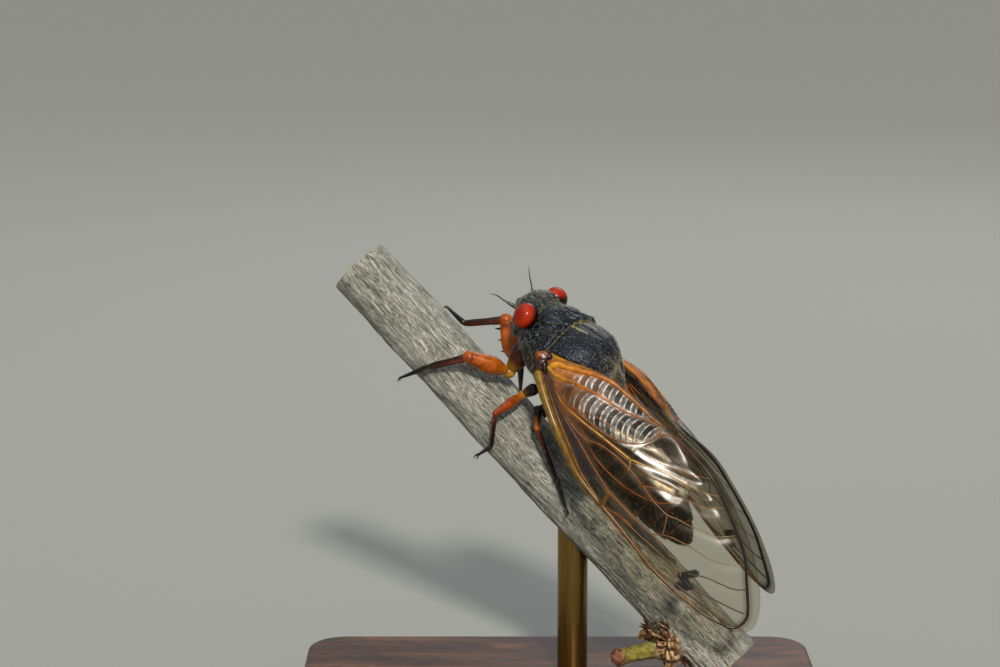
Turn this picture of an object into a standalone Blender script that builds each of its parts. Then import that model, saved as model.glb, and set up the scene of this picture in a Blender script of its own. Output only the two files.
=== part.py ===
"""Periodical cicada, life size, clinging to a cut length of branch that a plain stand holds up."""

import math

import bmesh
import bpy
import numpy as np
from mathutils import Euler, Quaternion, Vector
from mathutils.geometry import delaunay_2d_cdt

MM = 0.001

# Every size below is in millimetres. Nodes that touch keep this gap.
GAP = 0.3

# Stand: a flat slab and one rod.
BASE_WIDTH = 52.0
BASE_DEPTH = 36.0
BASE_HEIGHT = 4.0
BASE_CORNER = 4.0
BASE_BEVEL = 0.6
ROD_DIAMETER = 3.0
ROD_ALONG_PERCH = 0.58

# Perch: its axis runs from the upper cut end to the lower one.
PERCH_TOP = (-20.2, 11.1, 44.5)
PERCH_FOOT = (16.8, -1.6, 6.62)
PERCH_DIAMETER = 6.4
PERCH_RINGS = 18
PERCH_SIDES = 18
PERCH_RIPPLE = 0.1
# The broken twig: a knot that stands out of the perch, and the peg that is left of the twig.
STUB_ALONG_PERCH = 0.9
KNOT_DIAMETER = 4.8
KNOT_REACH = 4.0
KNOT_LEAN = (-0.8, -0.36, -0.48)
PEG_DIAMETER = 1.6
PEG_TIP = (-8.2, -2.0, -2.9)

# The body's own frame has its origin at the front of the head, x forwards, y to the left and z to the back.
BODY_AT = (-3.68, 3.72, 42.67)
BODY_TURN = (-10.6, -48.1, 150.5)

# Body stations: how far behind the head's front, half width, top, bottom, and the level of the widest line.
PRONOTUM_STATIONS = (
    (3.35, 2.7, 2.25, -2.9, 0.4),
    (3.9, 3.45, 2.75, -3.3, 0.4),
    (5.0, 4.0, 3.2, -3.6, 0.5),
    (6.2, 4.5, 3.4, -3.8, 0.7),
    (6.5, 4.4, 3.4, -3.8, 0.7),
)
MESOTHORAX_STATIONS = (
    (6.8, 4.2, 3.55, -3.8, 0.7),
    (7.6, 4.4, 4.2, -4.0, 0.7),
    (8.8, 4.4, 4.7, -4.1, 0.6),
    (10.2, 4.1, 4.4, -4.1, 0.4),
    (11.6, 3.6, 3.7, -4.0, 0.0),
    (12.8, 3.2, 2.8, -3.9, -0.4),
    (13.4, 3.1, 2.4, -3.8, -0.6),
)
ABDOMEN_STATIONS = (
    (13.7, 3.4, 2.3, -4.2, -1.1),
    (15.5, 3.75, 2.5, -4.6, -1.5),
    (18.0, 3.85, 2.4, -4.7, -1.6),
    (21.0, 3.65, 2.0, -4.6, -1.6),
    (24.0, 3.05, 1.3, -4.2, -1.6),
    (26.5, 2.2, 0.4, -3.7, -1.7),
    (28.2, 1.25, -0.6, -3.0, -1.75),
    (29.2, 0.35, -1.4, -2.1, -1.75),
)
ABDOMEN_RINGS = 9
# How much narrower each abdominal ring is at its front than at its hind edge, as a share.
RING_STEP = 0.055

# Relief on the back: each groove or ridge runs between two places, given as (behind the front, off the middle).
PRONOTUM_GROOVES = (((3.9, 0.55), (5.7, 1.7)), ((4.3, 1.9), (5.8, 3.3)))
GROOVE_HALF_WIDTH = 0.4
GROOVE_DEPTH = 0.16
COLLAR_BACK = 6.2
COLLAR_HALF_WIDTH = 0.45
COLLAR_HEIGHT = 0.1
CROSS_ARMS = (((11.6, 0.0), (10.5, 0.95)), ((11.6, 0.0), (12.8, 1.1)))
CROSS_HALF_WIDTH = 0.5
CROSS_HEIGHT = 0.26

# Head, turned a little to the left: swellings about one centre, of which the last two roof the feelers, and its
# neck, which bows forwards.
HEAD_CENTRE = (-1.9, 0.0, -0.3)
HEAD_SWELLINGS = (
    ((-2.1, -0.1, 1.05), (1.35, 3.2, 1.15)),
    ((-1.75, 0.0, 0.35), (1.6, 2.6, 1.75)),
    ((-1.8, 0.0, -1.3), (1.15, 1.4, 1.6)),
    ((-2.3, 0.0, -2.3), (0.95, 0.9, 1.55)),
    ((-0.95, 0.95, 0.1), (0.95, 0.8, 0.6)),
    ((-0.95, -0.95, 0.1), (0.95, 0.8, 0.6)),
)
HEAD_NECK = -3.05
NECK_BOW = 0.6
NECK_HALF_WIDTH = 2.8
NECK_BOW_LENGTH = 1.8
# The joint behind the pronotum bows forwards too, over this far to either side of it.
COLLAR_BOW = 0.8
COLLAR_BOW_WIDTH = 4.2
COLLAR_BOW_LENGTH = 1.6
CLYPEUS_RIDGES = 7
CLYPEUS_RIDGE_HEIGHT = 0.07
EYES = {"left": (-2.3, 2.72, 0.92), "right": (-1.95, -2.4, 1.08)}
EYE_RADII = (1.15, 1.0, 1.45)
OCELLUS_DIRECTIONS = ((0.62, 0.0, 0.78), (0.2, 0.24, 0.95), (0.2, -0.24, 0.95))
OCELLUS_RADIUS = 0.26

# Wings: the planform lies in the wing's own plane, u from the hinge to the tip and v towards the front edge.
FOREWING_HINGE = (-6.97, 4.6, 0.66)
FOREWING_U = (-0.997, -0.071, -0.015)
FOREWING_V = (-0.032, 0.626, -0.779)
RIGHT_HINGE = (-6.95, 4.35, 0.4)
RIGHT_U = (-0.998, -0.062, 0.012)
RIGHT_V = (-0.034, 0.44, -0.897)
RIGHT_SIZE = 0.945
# The right wing's hind margin, which folds down over the back, how far it folds, and how wide the folded strip is.
HIND_MARGIN = ((1.6, -2.1), (2.7, -2.65), (4.6, -3.75), (6.8, -4.7), (10.3, -5.5), (12.2, -5.5), (15.2, -6.6),
               (19.6, -6.9))
FOLD_DROP = 1.6
FOLD_WIDTH = 2.2
FOLD_COURSE = (0.5, 3.5, 9.0, 19.0)
WING_THICKNESS = 0.5
WING_CAMBER = 1.3
WING_RIDGE_HALF_GAP = 0.45
FOREWING_OUTLINE = (
    (0.1, -0.6), (0.2, 0.6), (1.3, 1.3), (4.0, 2.5), (7.0, 3.4), (10.5, 4.2), (14.7, 4.5),
    (18.0, 4.5), (21.4, 4.35), (24.4, 3.85), (27.1, 3.2), (29.4, 2.55), (31.2, 1.9), (32.3, 1.0),
    (32.6, 0.0), (32.0, -1.2), (30.5, -2.6), (28.6, -3.8), (26.6, -4.9), (24.4, -5.8), (22.0, -6.5),
    (19.6, -6.9), (17.4, -6.9), (15.2, -6.6), (13.4, -6.1), (12.2, -5.5), (10.3, -5.5), (6.8, -4.7),
    (4.6, -3.75), (2.7, -2.65), (1.6, -2.1), (0.5, -1.5),
)
# Each vein: half width, height above the membrane, and its course.
FOREWING_VEINS = (
    (0.42, 0.2, ((0.3, 0.5), (4.1, 2.1), (7.0, 3.0), (10.7, 4.0), (14.7, 4.25))),
    (0.3, 0.12, ((14.7, 4.25), (18.0, 4.25), (21.4, 4.0), (24.4, 3.55), (27.1, 2.9), (29.2, 2.2))),
    (0.28, 0.12, ((29.2, 2.2), (31.1, 1.6), (31.7, 0.5), (31.0, -0.7), (29.7, -1.8), (28.0, -2.9),
                  (26.1, -3.95), (24.0, -4.8), (21.9, -5.5), (19.2, -6.2), (16.4, -6.1), (14.0, -5.6),
                  (12.7, -4.5))),
    (0.3, 0.12, ((1.4, 0.3), (4.4, 1.1), (8.5, 1.5), (11.2, 2.2), (13.8, 2.9), (14.7, 4.0))),
    (0.25, 0.1, ((13.8, 2.9), (16.9, 2.5), (19.6, 1.9), (21.6, 0.5), (23.7, -0.5), (26.0, -1.5),
                 (27.8, -2.8))),
    (0.25, 0.1, ((8.5, 1.5), (10.9, 0.7), (13.0, 0.4), (15.5, 0.0), (17.2, 0.0), (19.0, -0.2),
                 (21.0, -1.1), (22.4, -1.9), (23.9, -3.0), (25.3, -4.3))),
    (0.25, 0.1, ((15.5, 0.0), (16.8, -1.3), (18.6, -2.2), (20.2, -3.0), (21.7, -4.2), (22.6, -5.2))),
    (0.3, 0.12, ((2.6, 0.0), (5.7, 1.0), (8.1, 0.7), (10.8, 0.0), (12.8, -0.8), (14.9, -1.8),
                 (17.8, -2.9), (19.1, -3.8), (20.9, -5.6))),
    (0.28, 0.12, ((2.6, 0.0), (4.5, 0.4), (7.2, -0.2), (9.8, -1.0), (11.4, -1.6), (12.4, -2.4),
                  (12.8, -3.5), (12.4, -4.9))),
    (0.25, 0.1, ((2.6, -0.1), (5.4, -1.9), (8.6, -3.3), (11.9, -4.9))),
    (0.25, 0.1, ((19.6, 1.9), (22.0, 1.9), (25.2, 2.1), (27.7, 1.3), (30.9, -0.3))),
)
HINDWING_OUTLINE = (
    (5.0, 0.6), (7.5, 1.9), (11.0, 2.6), (15.0, 1.9), (18.2, 0.2), (19.6, -1.8), (19.4, -3.2), (17.8, -4.2),
    (15.0, -4.4), (12.0, -3.9), (9.0, -2.8), (6.6, -1.3), (5.2, -0.3),
)
HINDWING_VEINS = (
    (0.25, 0.1, ((5.6, 0.4), (8.0, 1.3), (11.0, 1.9), (14.8, 1.3), (17.6, -0.2), (18.8, -1.9))),
    (0.22, 0.08, ((5.8, 0.1), (9.5, 0.0), (13.5, -0.8), (17.6, -2.4))),
    (0.22, 0.08, ((6.0, -0.2), (9.0, -1.4), (12.6, -2.9), (15.2, -3.7))),
)

# Left legs, joint by joint: the hip, the trochanter, the knee, the ankle and the foot's end.
FORE_LEFT = ((-4.3, 1.6, -3.9), (-4.9, 2.0, -5.6), (-1.75, 5.1, -6.0), (0.3, 5.8, -10.3), (1.5, 6.1, -13.8))
FORE_RIGHT = ((-4.3, -1.5, -4.0), (-4.35, -0.9, -6.7), (0.1, -2.1, -5.35), (2.6, -0.8, -8.9), (4.8, -0.7, -9.35))
MID_LEFT = ((-7.9, 1.8, -4.3), (-7.5, 1.9, -5.9), (-7.7, 5.4, -7.3), (-9.6, 4.6, -11.0), (-9.2, 4.2, -13.3))
MID_RIGHT = ((-7.9, -1.8, -4.3), (-7.5, -1.9, -5.9), (-7.8, -5.0, -7.2), (-9.6, -3.2, -10.4), (-9.2, -2.7, -12.6))
HIND_LEFT = ((-10.4, 1.7, -4.4), (-9.6, 1.8, -5.7), (-11.3, 3.7, -5.5), (-16.1, 2.8, -8.2), (-19.1, 3.0, -9.3))
HIND_RIGHT = ((-10.4, -1.7, -4.4), (-9.6, -1.8, -5.7), (-11.3, -3.9, -5.5), (-16.2, -3.5, -8.1), (-19.0, -4.4, -8.7))
# Limb thickness at the root, the middle and the end of each length: coxa, femur, tibia and tarsus.
FORE_THICKNESS = ((1.35, 1.4, 0.95), (1.05, 2.0, 1.4), (0.6, 0.55, 0.6), (0.55, 0.5, 0.4))
WALKING_THICKNESS = ((1.1, 1.1, 0.8), (0.75, 1.05, 0.75), (0.6, 0.55, 0.6), (0.55, 0.5, 0.4))
LIMB_SIDES = 8
SPINE_LENGTH = 0.7
CLAW_LENGTH = 0.75
CLAW_SPREAD = 0.35
# Spurs of a hind shin: how far along it, and how far round it in degrees.
SPURS = ((0.45, 60), (0.62, -60), (0.8, 60), (0.97, -60), (0.97, 180))

BEAK_COURSE = ((-2.9, 0.0, -4.35), (-4.1, 0.1, -4.75), (-5.3, 0.3, -5.8), (-6.6, 0.2, -7.3))
BEAK_THICKNESS = (0.7, 0.9, 0.65, 0.5)
ANTENNA_LEFT = ((-0.3, 1.62, -0.5), (0.6, 2.1, -0.66), (1.3, 2.6, -0.6), (1.8, 3.15, -0.75))
ANTENNA_RIGHT = ((-0.25, -1.75, -0.4), (0.8, -1.95, 0.1), (1.5, -1.9, 0.6), (2.2, -1.85, 1.25))
ANTENNA_THICKNESS = (0.5, 0.45, 0.3, 0.18)


def clear_scene():
    for thing in list(bpy.data.objects):
        bpy.data.objects.remove(thing, do_unlink=True)


def finish(name, colour, roughness, metallic=0.0):
    material = bpy.data.materials.new(name)
    material.use_nodes = True
    shader = material.node_tree.nodes["Principled BSDF"]
    shader.inputs["Base Color"].default_value = (*colour, 1.0)
    shader.inputs["Roughness"].default_value = roughness
    shader.inputs["Metallic"].default_value = metallic
    return material


def solid(name, points, faces, material, parent=None):
    """One named object from points in millimetres, its faces turned outwards."""
    mesh = bpy.data.meshes.new(name)
    shape = bmesh.new()
    corners = [shape.verts.new(Vector(point) * MM) for point in points]
    for face in faces:
        shape.faces.new([corners[index] for index in face])
    bmesh.ops.recalc_face_normals(shape, faces=shape.faces)
    shape.to_mesh(mesh)
    shape.free()
    mesh.shade_smooth()
    mesh.set_sharp_from_angle(angle=math.radians(40))
    mesh.materials.append(material)
    thing = bpy.data.objects.new(name, mesh)
    bpy.context.collection.objects.link(thing)
    thing.parent = parent
    return thing


def smooth_course(points, steps):
    """A curve through the points, as Catmull and Rom draw it."""
    points = np.asarray(points, float)
    ends = np.vstack([2 * points[0] - points[1], points, 2 * points[-1] - points[-2]])
    course = []
    for index in range(len(points) - 1):
        a, b, c, d = ends[index : index + 4]
        for step in range(steps):
            t = step / steps
            course.append(
                0.5 * (2 * b + (c - a) * t + (2 * a - 5 * b + 4 * c - d) * t**2 + (3 * b - a - 3 * c + d) * t**3)
            )
    course.append(points[-1])
    return np.array(course)


def lofted(rings):
    """Points and faces of a closed skin over rings of equal count, with flat fans at both ends."""
    count = len(rings[0])
    points = [tuple(point) for ring in rings for point in ring]
    faces = []
    for row in range(len(rings) - 1):
        for column in range(count):
            a = row * count + column
            b = row * count + (column + 1) % count
            faces.append((a, b, b + count))
            faces.append((a, b + count, a + count))
    for row in (0, len(rings) - 1):
        middle = len(points)
        points.append(tuple(np.mean(rings[row], axis=0)))
        faces += [(row * count + column, row * count + (column + 1) % count, middle) for column in range(count)]
    return points, faces


def body_ring(station, sides):
    """One cross-section of the body, a rounded arch above its widest line and another below."""
    back, half_width, top, bottom, level = station
    ring = []
    for index in range(sides):
        angle = math.tau * index / sides
        height = (top - level) if math.sin(angle) > 0 else (level - bottom)
        ring.append((-back, half_width * math.cos(angle), level + height * math.sin(angle)))
    return ring


def body_length(name, stations, sides, steps, material, parent, relief=None):
    rings = [body_ring(station, sides) for station in smooth_course(stations, steps)]
    points, faces = lofted(rings)
    if relief:
        points = [relief(*point) for point in points]
    return solid(name, points, faces, material, parent)


def tube(course, thickness, sides):
    """Points and faces of a round bar along a course, its frame carried along so that it doesn't twist."""
    course = [Vector(point) for point in course]
    rings = []
    across = None
    for index, point in enumerate(course):
        before = course[max(index - 1, 0)]
        after = course[min(index + 1, len(course) - 1)]
        along = (after - before).normalized()
        if across is None:
            across = along.orthogonal().normalized()
        across = (across - along * across.dot(along)).normalized()
        third = along.cross(across)
        radius = thickness[index] / 2
        rings.append(
            [
                point + (across * math.cos(math.tau * k / sides) + third * math.sin(math.tau * k / sides)) * radius
                for k in range(sides)
            ]
        )
    return lofted(rings)


def joined(name, pieces, material, parent):
    """One closed body from overlapping closed ones."""
    group = bpy.data.collections.new(name)
    for piece in pieces[1:]:
        group.objects.link(piece)
    first = pieces[0]
    fuse = first.modifiers.new("fuse", "BOOLEAN")
    fuse.operation = "UNION"
    fuse.operand_type = "COLLECTION"
    fuse.collection = group
    fuse.solver = "EXACT"
    return applied(name, first, pieces[1:], material, parent)


def applied(name, thing, helpers, material, parent):
    """Bakes the modifiers in, removes the helpers and keeps the largest closed surface."""
    bpy.context.view_layer.update()
    graph = bpy.context.evaluated_depsgraph_get()
    mesh = bpy.data.meshes.new_from_object(thing.evaluated_get(graph))
    for piece in [thing, *helpers]:
        bpy.data.objects.remove(piece, do_unlink=True)
    keep_largest(mesh)
    mesh.name = name
    mesh.materials.clear()
    mesh.materials.append(material)
    mesh.shade_smooth()
    mesh.set_sharp_from_angle(angle=math.radians(40))
    whole = bpy.data.objects.new(name, mesh)
    bpy.context.collection.objects.link(whole)
    whole.parent = parent
    return whole


def keep_largest(mesh):
    shape = bmesh.new()
    shape.from_mesh(mesh)
    bmesh.ops.triangulate(shape, faces=shape.faces)
    bmesh.ops.dissolve_degenerate(shape, dist=0.002 * MM, edges=shape.edges)
    left = set(shape.faces)
    islands = []
    while left:
        island = set()
        front = [left.pop()]
        while front:
            face = front.pop()
            island.add(face)
            for edge in face.edges:
                for other in edge.link_faces:
                    if other in left:
                        left.remove(other)
                        front.append(other)
        islands.append(island)
    largest = max(islands, key=lambda island: sum(face.calc_area() for face in island))
    loose = [face for face in shape.faces if face not in largest]
    bmesh.ops.delete(shape, geom=loose, context="FACES")
    shape.to_mesh(mesh)
    shape.free()


def cut_by(thing, cutters, material, parent):
    for cutter in cutters:
        cut = thing.modifiers.new("cut", "BOOLEAN")
        cut.operation = "DIFFERENCE"
        cut.object = cutter
        cut.solver = "EXACT"
    return applied(thing.name, thing, cutters, material, parent)


def ellipsoid(name, centre, radii, segments, rings, material, parent=None):
    shape = bmesh.new()
    bmesh.ops.create_uvsphere(shape, u_segments=segments, v_segments=rings, radius=1.0)
    bmesh.ops.triangulate(shape, faces=shape.faces)
    points = [Vector(centre) + Vector([r * c for r, c in zip(radii, vert.co)]) for vert in shape.verts]
    faces = [[vert.index for vert in face.verts] for face in shape.faces]
    shape.free()
    return solid(name, points, faces, material, parent)


def head_reach(direction):
    """How far the head's surface lies from its centre in one direction."""
    centre = np.array(HEAD_CENTRE)
    reach = 0.0
    for middle, radii in HEAD_SWELLINGS:
        away = (centre - np.array(middle)) / np.array(radii)
        ray = direction / np.array(radii)
        a = ray @ ray
        b = away @ ray
        c = away @ away - 1
        if b * b - a * c > 0:
            reach = max(reach, (-b + math.sqrt(b * b - a * c)) / a)
    if direction[0] < 0:
        for _ in range(6):
            neck = HEAD_NECK + neck_bow(centre[1] + reach * direction[1])
            reach = min(reach, (neck - centre[0]) / direction[0])
    return reach


def neck_bow(y):
    """How far the joint between head and pronotum lies ahead of its outer ends."""
    return NECK_BOW * max(0.0, 1.0 - (y / NECK_HALF_WIDTH) ** 2)


def make_head(chitin, parent):
    columns = 30
    rows = 20
    rings = []
    for row in range(1, rows):
        tilt = math.pi * row / rows
        ring = []
        for column in range(columns):
            turn = math.tau * column / columns
            direction = np.array(
                [math.sin(tilt) * math.cos(turn), math.cos(tilt), math.sin(tilt) * math.sin(turn)]
            )
            point = np.array(HEAD_CENTRE) + direction * head_reach(direction)
            ring.append(clypeus_ridged(point))
        rings.append(ring)
    points, faces = lofted(rings)
    head = solid("head", points, faces, chitin, parent)
    ocelli = []
    for direction in OCELLUS_DIRECTIONS:
        direction = np.array(direction) / np.linalg.norm(direction)
        centre = np.array(HEAD_CENTRE) + direction * (head_reach(direction) - 0.08)
        ocelli.append(ellipsoid("ocellus", centre, [OCELLUS_RADIUS] * 3, 8, 6, chitin, parent))
    head = joined("head", [head, *ocelli], chitin, parent)
    return cut_by(head, eye_sockets(chitin, parent), chitin, parent)


def eye_sockets(material, parent):
    """What each eye needs for itself, a gap wider all round."""
    sockets = []
    for centre in EYES.values():
        radii = [radius + GAP for radius in EYE_RADII]
        sockets.append(ellipsoid("socket", centre, radii, 16, 12, material, parent))
    return sockets


def clypeus_ridged(point):
    """Raises the transverse ridges of the swollen face."""
    x, y, z = point
    if x < -1.3 or z > -0.2 or abs(y) > 1.6:
        return point
    fade = min(1.0, (-0.2 - z) / 0.6) * min(1.0, (1.6 - abs(y)) / 0.5)
    wave = math.cos(math.tau * CLYPEUS_RIDGES * (z + 0.25 * abs(y)) / 3.8)
    return np.array([x + CLYPEUS_RIDGE_HEIGHT * fade * wave, y, z])


def crest(distance, half_width):
    return max(0.0, 1.0 - (distance / half_width) ** 2)


def raised(x, y, z, height):
    """The point moved away from the body's long axis."""
    reach = math.hypot(y, z)
    return (x, y * (1 + height / reach), z * (1 + height / reach))


def pronotum_relief(x, y, z):
    """Two slanting grooves a side and the collar along the hind edge."""
    place = np.array([-x, abs(y)])
    height = COLLAR_HEIGHT * crest(abs(-x - COLLAR_BACK), COLLAR_HALF_WIDTH)
    if z > 0:
        for course in PRONOTUM_GROOVES:
            height -= GROOVE_DEPTH * crest(distance_to(place, np.array(course)), GROOVE_HALF_WIDTH)
    fade = max(0.0, 1.0 - (-x - PRONOTUM_STATIONS[0][0]) / NECK_BOW_LENGTH)
    return raised(x + neck_bow(y) * fade + collar_bow(x, y, z), y, z, height)


def collar_bow(x, y, z):
    """How far the back's skin near the joint of pronotum and mesothorax lies ahead of its outer ends."""
    if z < 0:
        return 0.0
    near = max(0.0, 1.0 - abs(-x - PRONOTUM_STATIONS[-1][0]) / COLLAR_BOW_LENGTH)
    return COLLAR_BOW * near * max(0.0, 1.0 - (y / COLLAR_BOW_WIDTH) ** 2) * min(1.0, z / 1.5)


def mesothorax_relief(x, y, z):
    """The cross-shaped swelling at the hind end of the back."""
    if z < 0:
        return (x, y, z)
    place = np.array([-x, abs(y)])
    nearest = min(distance_to(place, np.array(course)) for course in CROSS_ARMS)
    return raised(x + collar_bow(x, y, z), y, z, CROSS_HEIGHT * crest(nearest, CROSS_HALF_WIDTH))


def abdomen_relief(x, y, z):
    """A low step at the hind edge of each abdominal ring."""
    length = ABDOMEN_STATIONS[-1][0] - ABDOMEN_STATIONS[0][0]
    along = (-x - ABDOMEN_STATIONS[0][0]) / length * ABDOMEN_RINGS
    share = 1.0 - RING_STEP * (1.0 - along % 1.0)
    middle = -1.0
    return (x, y * share, middle + (z - middle) * share)


def eased(share):
    share = min(max(share, 0.0), 1.0)
    return share * share * (3.0 - 2.0 * share)


def folded_down(u, v):
    """How far the right wing's hind strip hangs below the plane of the wing."""
    start, full, fading, end = FOLD_COURSE
    margin = np.interp(u, *zip(*HIND_MARGIN))
    strength = eased((u - start) / (full - start)) * eased((end - u) / (end - fading))
    return FOLD_DROP * strength * eased((margin + FOLD_WIDTH - v) / FOLD_WIDTH)


def wing_point(u, v, side):
    """Where one place of a wing's planform lies, in the body's frame."""
    left = side > 0
    if not left:
        u *= RIGHT_SIZE
        v *= RIGHT_SIZE
    hinge = np.array(FOREWING_HINGE if left else RIGHT_HINGE)
    along = np.array(FOREWING_U if left else RIGHT_U)
    across = np.array(FOREWING_V if left else RIGHT_V)
    outwards = np.cross(across, along)
    outwards /= np.linalg.norm(outwards)
    if outwards[1] < 0:
        outwards = -outwards
    rise = min(max(u / 6.0, 0.0), 1.0) * min(max((33.0 - u) / 14.0, 0.0), 1.0)
    bulge = WING_CAMBER * rise * max(0.0, 1.0 - ((v + 0.6) / 5.6) ** 2)
    x, y, z = hinge + u * along + v * across + bulge * outwards
    spare = y - WING_RIDGE_HALF_GAP
    kept = 0.5 * (spare + math.sqrt(spare * spare + 0.25))
    z += 0.35 * (kept - spare)
    if not left:
        z -= folded_down(u, v)
    return np.array([x, side * (WING_RIDGE_HALF_GAP + kept), z])


def wing_normal(u, v, side):
    step = 0.05
    along = wing_point(u + step, v, side) - wing_point(u - step, v, side)
    across = wing_point(u, v + step, side) - wing_point(u, v - step, side)
    outwards = np.cross(across, along) * side
    return outwards / np.linalg.norm(outwards)


def distance_to(place, course):
    nearest = 1e9
    for a, b in zip(course[:-1], course[1:]):
        span = b - a
        t = min(max(np.dot(place - a, span) / np.dot(span, span), 0.0), 1.0)
        nearest = min(nearest, np.linalg.norm(place - a - t * span))
    return nearest


def vein_height(place, veins):
    return max([height * max(0.0, 1.0 - distance_to(place, course) / half) for half, height, course in veins] + [0.0])


def inside_outline(place, outline):
    x, y = place
    inside = False
    for (ax, ay), (bx, by) in zip(outline, np.roll(outline, -1, axis=0)):
        if (ay > y) != (by > y) and x < (bx - ax) * (y - ay) / (by - ay) + ax:
            inside = not inside
    return inside


def vein_lines(veins, outline):
    """The middle line of each vein and a line along each foot, kept inside the outline."""
    lines = []
    for half, _, course in veins:
        sides = np.gradient(course, axis=0)
        sides = np.stack([-sides[:, 1], sides[:, 0]], axis=1)
        sides /= np.linalg.norm(sides, axis=1)[:, None]
        for offset in (-half, 0.0, half):
            line = [place for place in course + offset * sides if inside_outline(place, outline)]
            lines.append([place for place in line if distance_to(place, np.vstack([outline, outline[:1]])) > 0.12])
    return lines


def wing(name, outline, veins, side, sink, thickness, material, parent):
    """A thin cambered sheet with its veins raised in both faces, cut into the same triangles on each."""
    outline = np.array(outline, float)
    veins = [(half, height, np.array(course, float)) for half, height, course in veins]
    places = [Vector(place) for place in outline]
    edges = [(index, (index + 1) % len(outline)) for index in range(len(outline))]
    for line in vein_lines(veins, outline):
        start = len(places)
        places += [Vector(place) for place in line]
        edges += [(start + index, start + index + 1) for index in range(len(line) - 1)]
    flat, _, triangles, *_ = delaunay_2d_cdt(places, edges, [list(range(len(outline)))], 1, 0.06)
    upper = []
    lower = []
    for place in flat:
        middle = wing_point(place.x, place.y, side)
        outwards = wing_normal(place.x, place.y, side)
        height = thickness / 2 + vein_height(np.array(place), veins)
        upper.append(middle + outwards * (height - sink))
        lower.append(middle - outwards * (height + sink))
    count = len(flat)
    faces = []
    border = {}
    for triangle in triangles:
        for corner in range(len(triangle)):
            a, b = triangle[corner], triangle[(corner + 1) % len(triangle)]
            if (b, a) in border:
                del border[(b, a)]
            else:
                border[(a, b)] = True
        faces.append(tuple(triangle))
        faces.append(tuple(index + count for index in reversed(triangle)))
    for a, b in border:
        faces.append((b, a, a + count))
        faces.append((b, a + count, b + count))
    return solid(name, upper + lower, faces, material, parent)


def wing_clearance(side, parent, material):
    """A plain sheet over the wing's root, a gap wider and thicker than the wing, that cuts what it passes."""
    outline = ((-0.6, -2.3), (-0.6, 1.8), (4.0, 3.4), (9.5, 4.8), (9.5, -6.2), (6.4, -5.4), (4.0, -4.4), (2.0, -3.1))
    thickness = WING_THICKNESS + 2 * GAP + 0.3
    return wing("clearance", outline, (), side, 0.0, thickness, material, parent)


def limb(name, joints, thickness, material, parent, spines=0, spurs=()):
    """A leg: each length a tapered bar, run on into the next so that they fuse."""
    pieces = []
    for index, (root, middle, end) in enumerate(thickness):
        a = Vector(joints[index])
        b = Vector(joints[index + 1])
        along = (b - a).normalized()
        course = [a - along * root * 0.25, a.lerp(b, 0.12), a.lerp(b, 0.45), a.lerp(b, 0.85), b + along * end * 0.25]
        widths = [root * 0.6, root, middle, end, end * 0.65]
        points, faces = tube(course, widths, LIMB_SIDES)
        pieces.append(solid("length", points, faces, material, parent))
    trochanter = ellipsoid("joint", joints[1], [thickness[0][2] * 0.52] * 3, 8, 6, material, parent)
    knee = ellipsoid("joint", joints[2], [thickness[1][2] * 0.5] * 3, 8, 6, material, parent)
    pieces += [trochanter, knee]
    pieces += femur_spines(joints, thickness, material, parent, spines)
    pieces += shin_spurs(joints, thickness, material, parent, spurs)
    pieces += claws(joints, material, parent)
    return joined(name, pieces, material, parent)


def femur_spines(joints, thickness, material, parent, count):
    """The short stout spines under a fore femur, pointing at the shin that folds against them."""
    hip = Vector(joints[1])
    knee = Vector(joints[2])
    along = (knee - hip).normalized()
    below = Vector(joints[3]) - knee
    below = (below - along * below.dot(along)).normalized()
    spines = []
    for index in range(count):
        root = hip.lerp(knee, 0.3 + 0.5 * index / max(count - 1, 1))
        tip = root + (below + along * 0.35).normalized() * (thickness[1][1] / 2 + SPINE_LENGTH)
        points, faces = tube([root, tip], (0.6, 0.14), 4)
        spines.append(solid("spine", points, faces, material, parent))
    return spines


def shin_spurs(joints, thickness, material, parent, spurs):
    knee = Vector(joints[2])
    ankle = Vector(joints[3])
    along = (ankle - knee).normalized()
    outwards = along.cross(Vector((0, 1, 0))).normalized()
    made = []
    for share, turn in spurs:
        lean = Quaternion(along, math.radians(turn)) @ outwards
        root = knee.lerp(ankle, share) - lean * 0.05
        tip = root + lean * (thickness[2][1] / 2 + 0.35) + along * 0.45
        points, faces = tube([root, tip], (0.4, 0.12), 4)
        made.append(solid("spur", points, faces, material, parent))
    return made


def claws(joints, material, parent):
    """Two hooked claws at the foot's end, spread to either side."""
    ankle = Vector(joints[3])
    foot = Vector(joints[4])
    along = (foot - ankle).normalized()
    sideways = along.cross(Vector((0, 0, 1))).normalized()
    down = along.cross(sideways).normalized()
    if down.z > 0:
        down = -down
    made = []
    for side in (1, -1):
        lean = (along + sideways * side * CLAW_SPREAD).normalized()
        middle = foot + lean * CLAW_LENGTH * 0.5
        tip = foot + lean * CLAW_LENGTH * 0.8 + down * CLAW_LENGTH * 0.4
        points, faces = tube([foot - along * 0.15, middle, tip], (0.36, 0.26, 0.1), 5)
        made.append(solid("claw", points, faces, material, parent))
    return made


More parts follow.
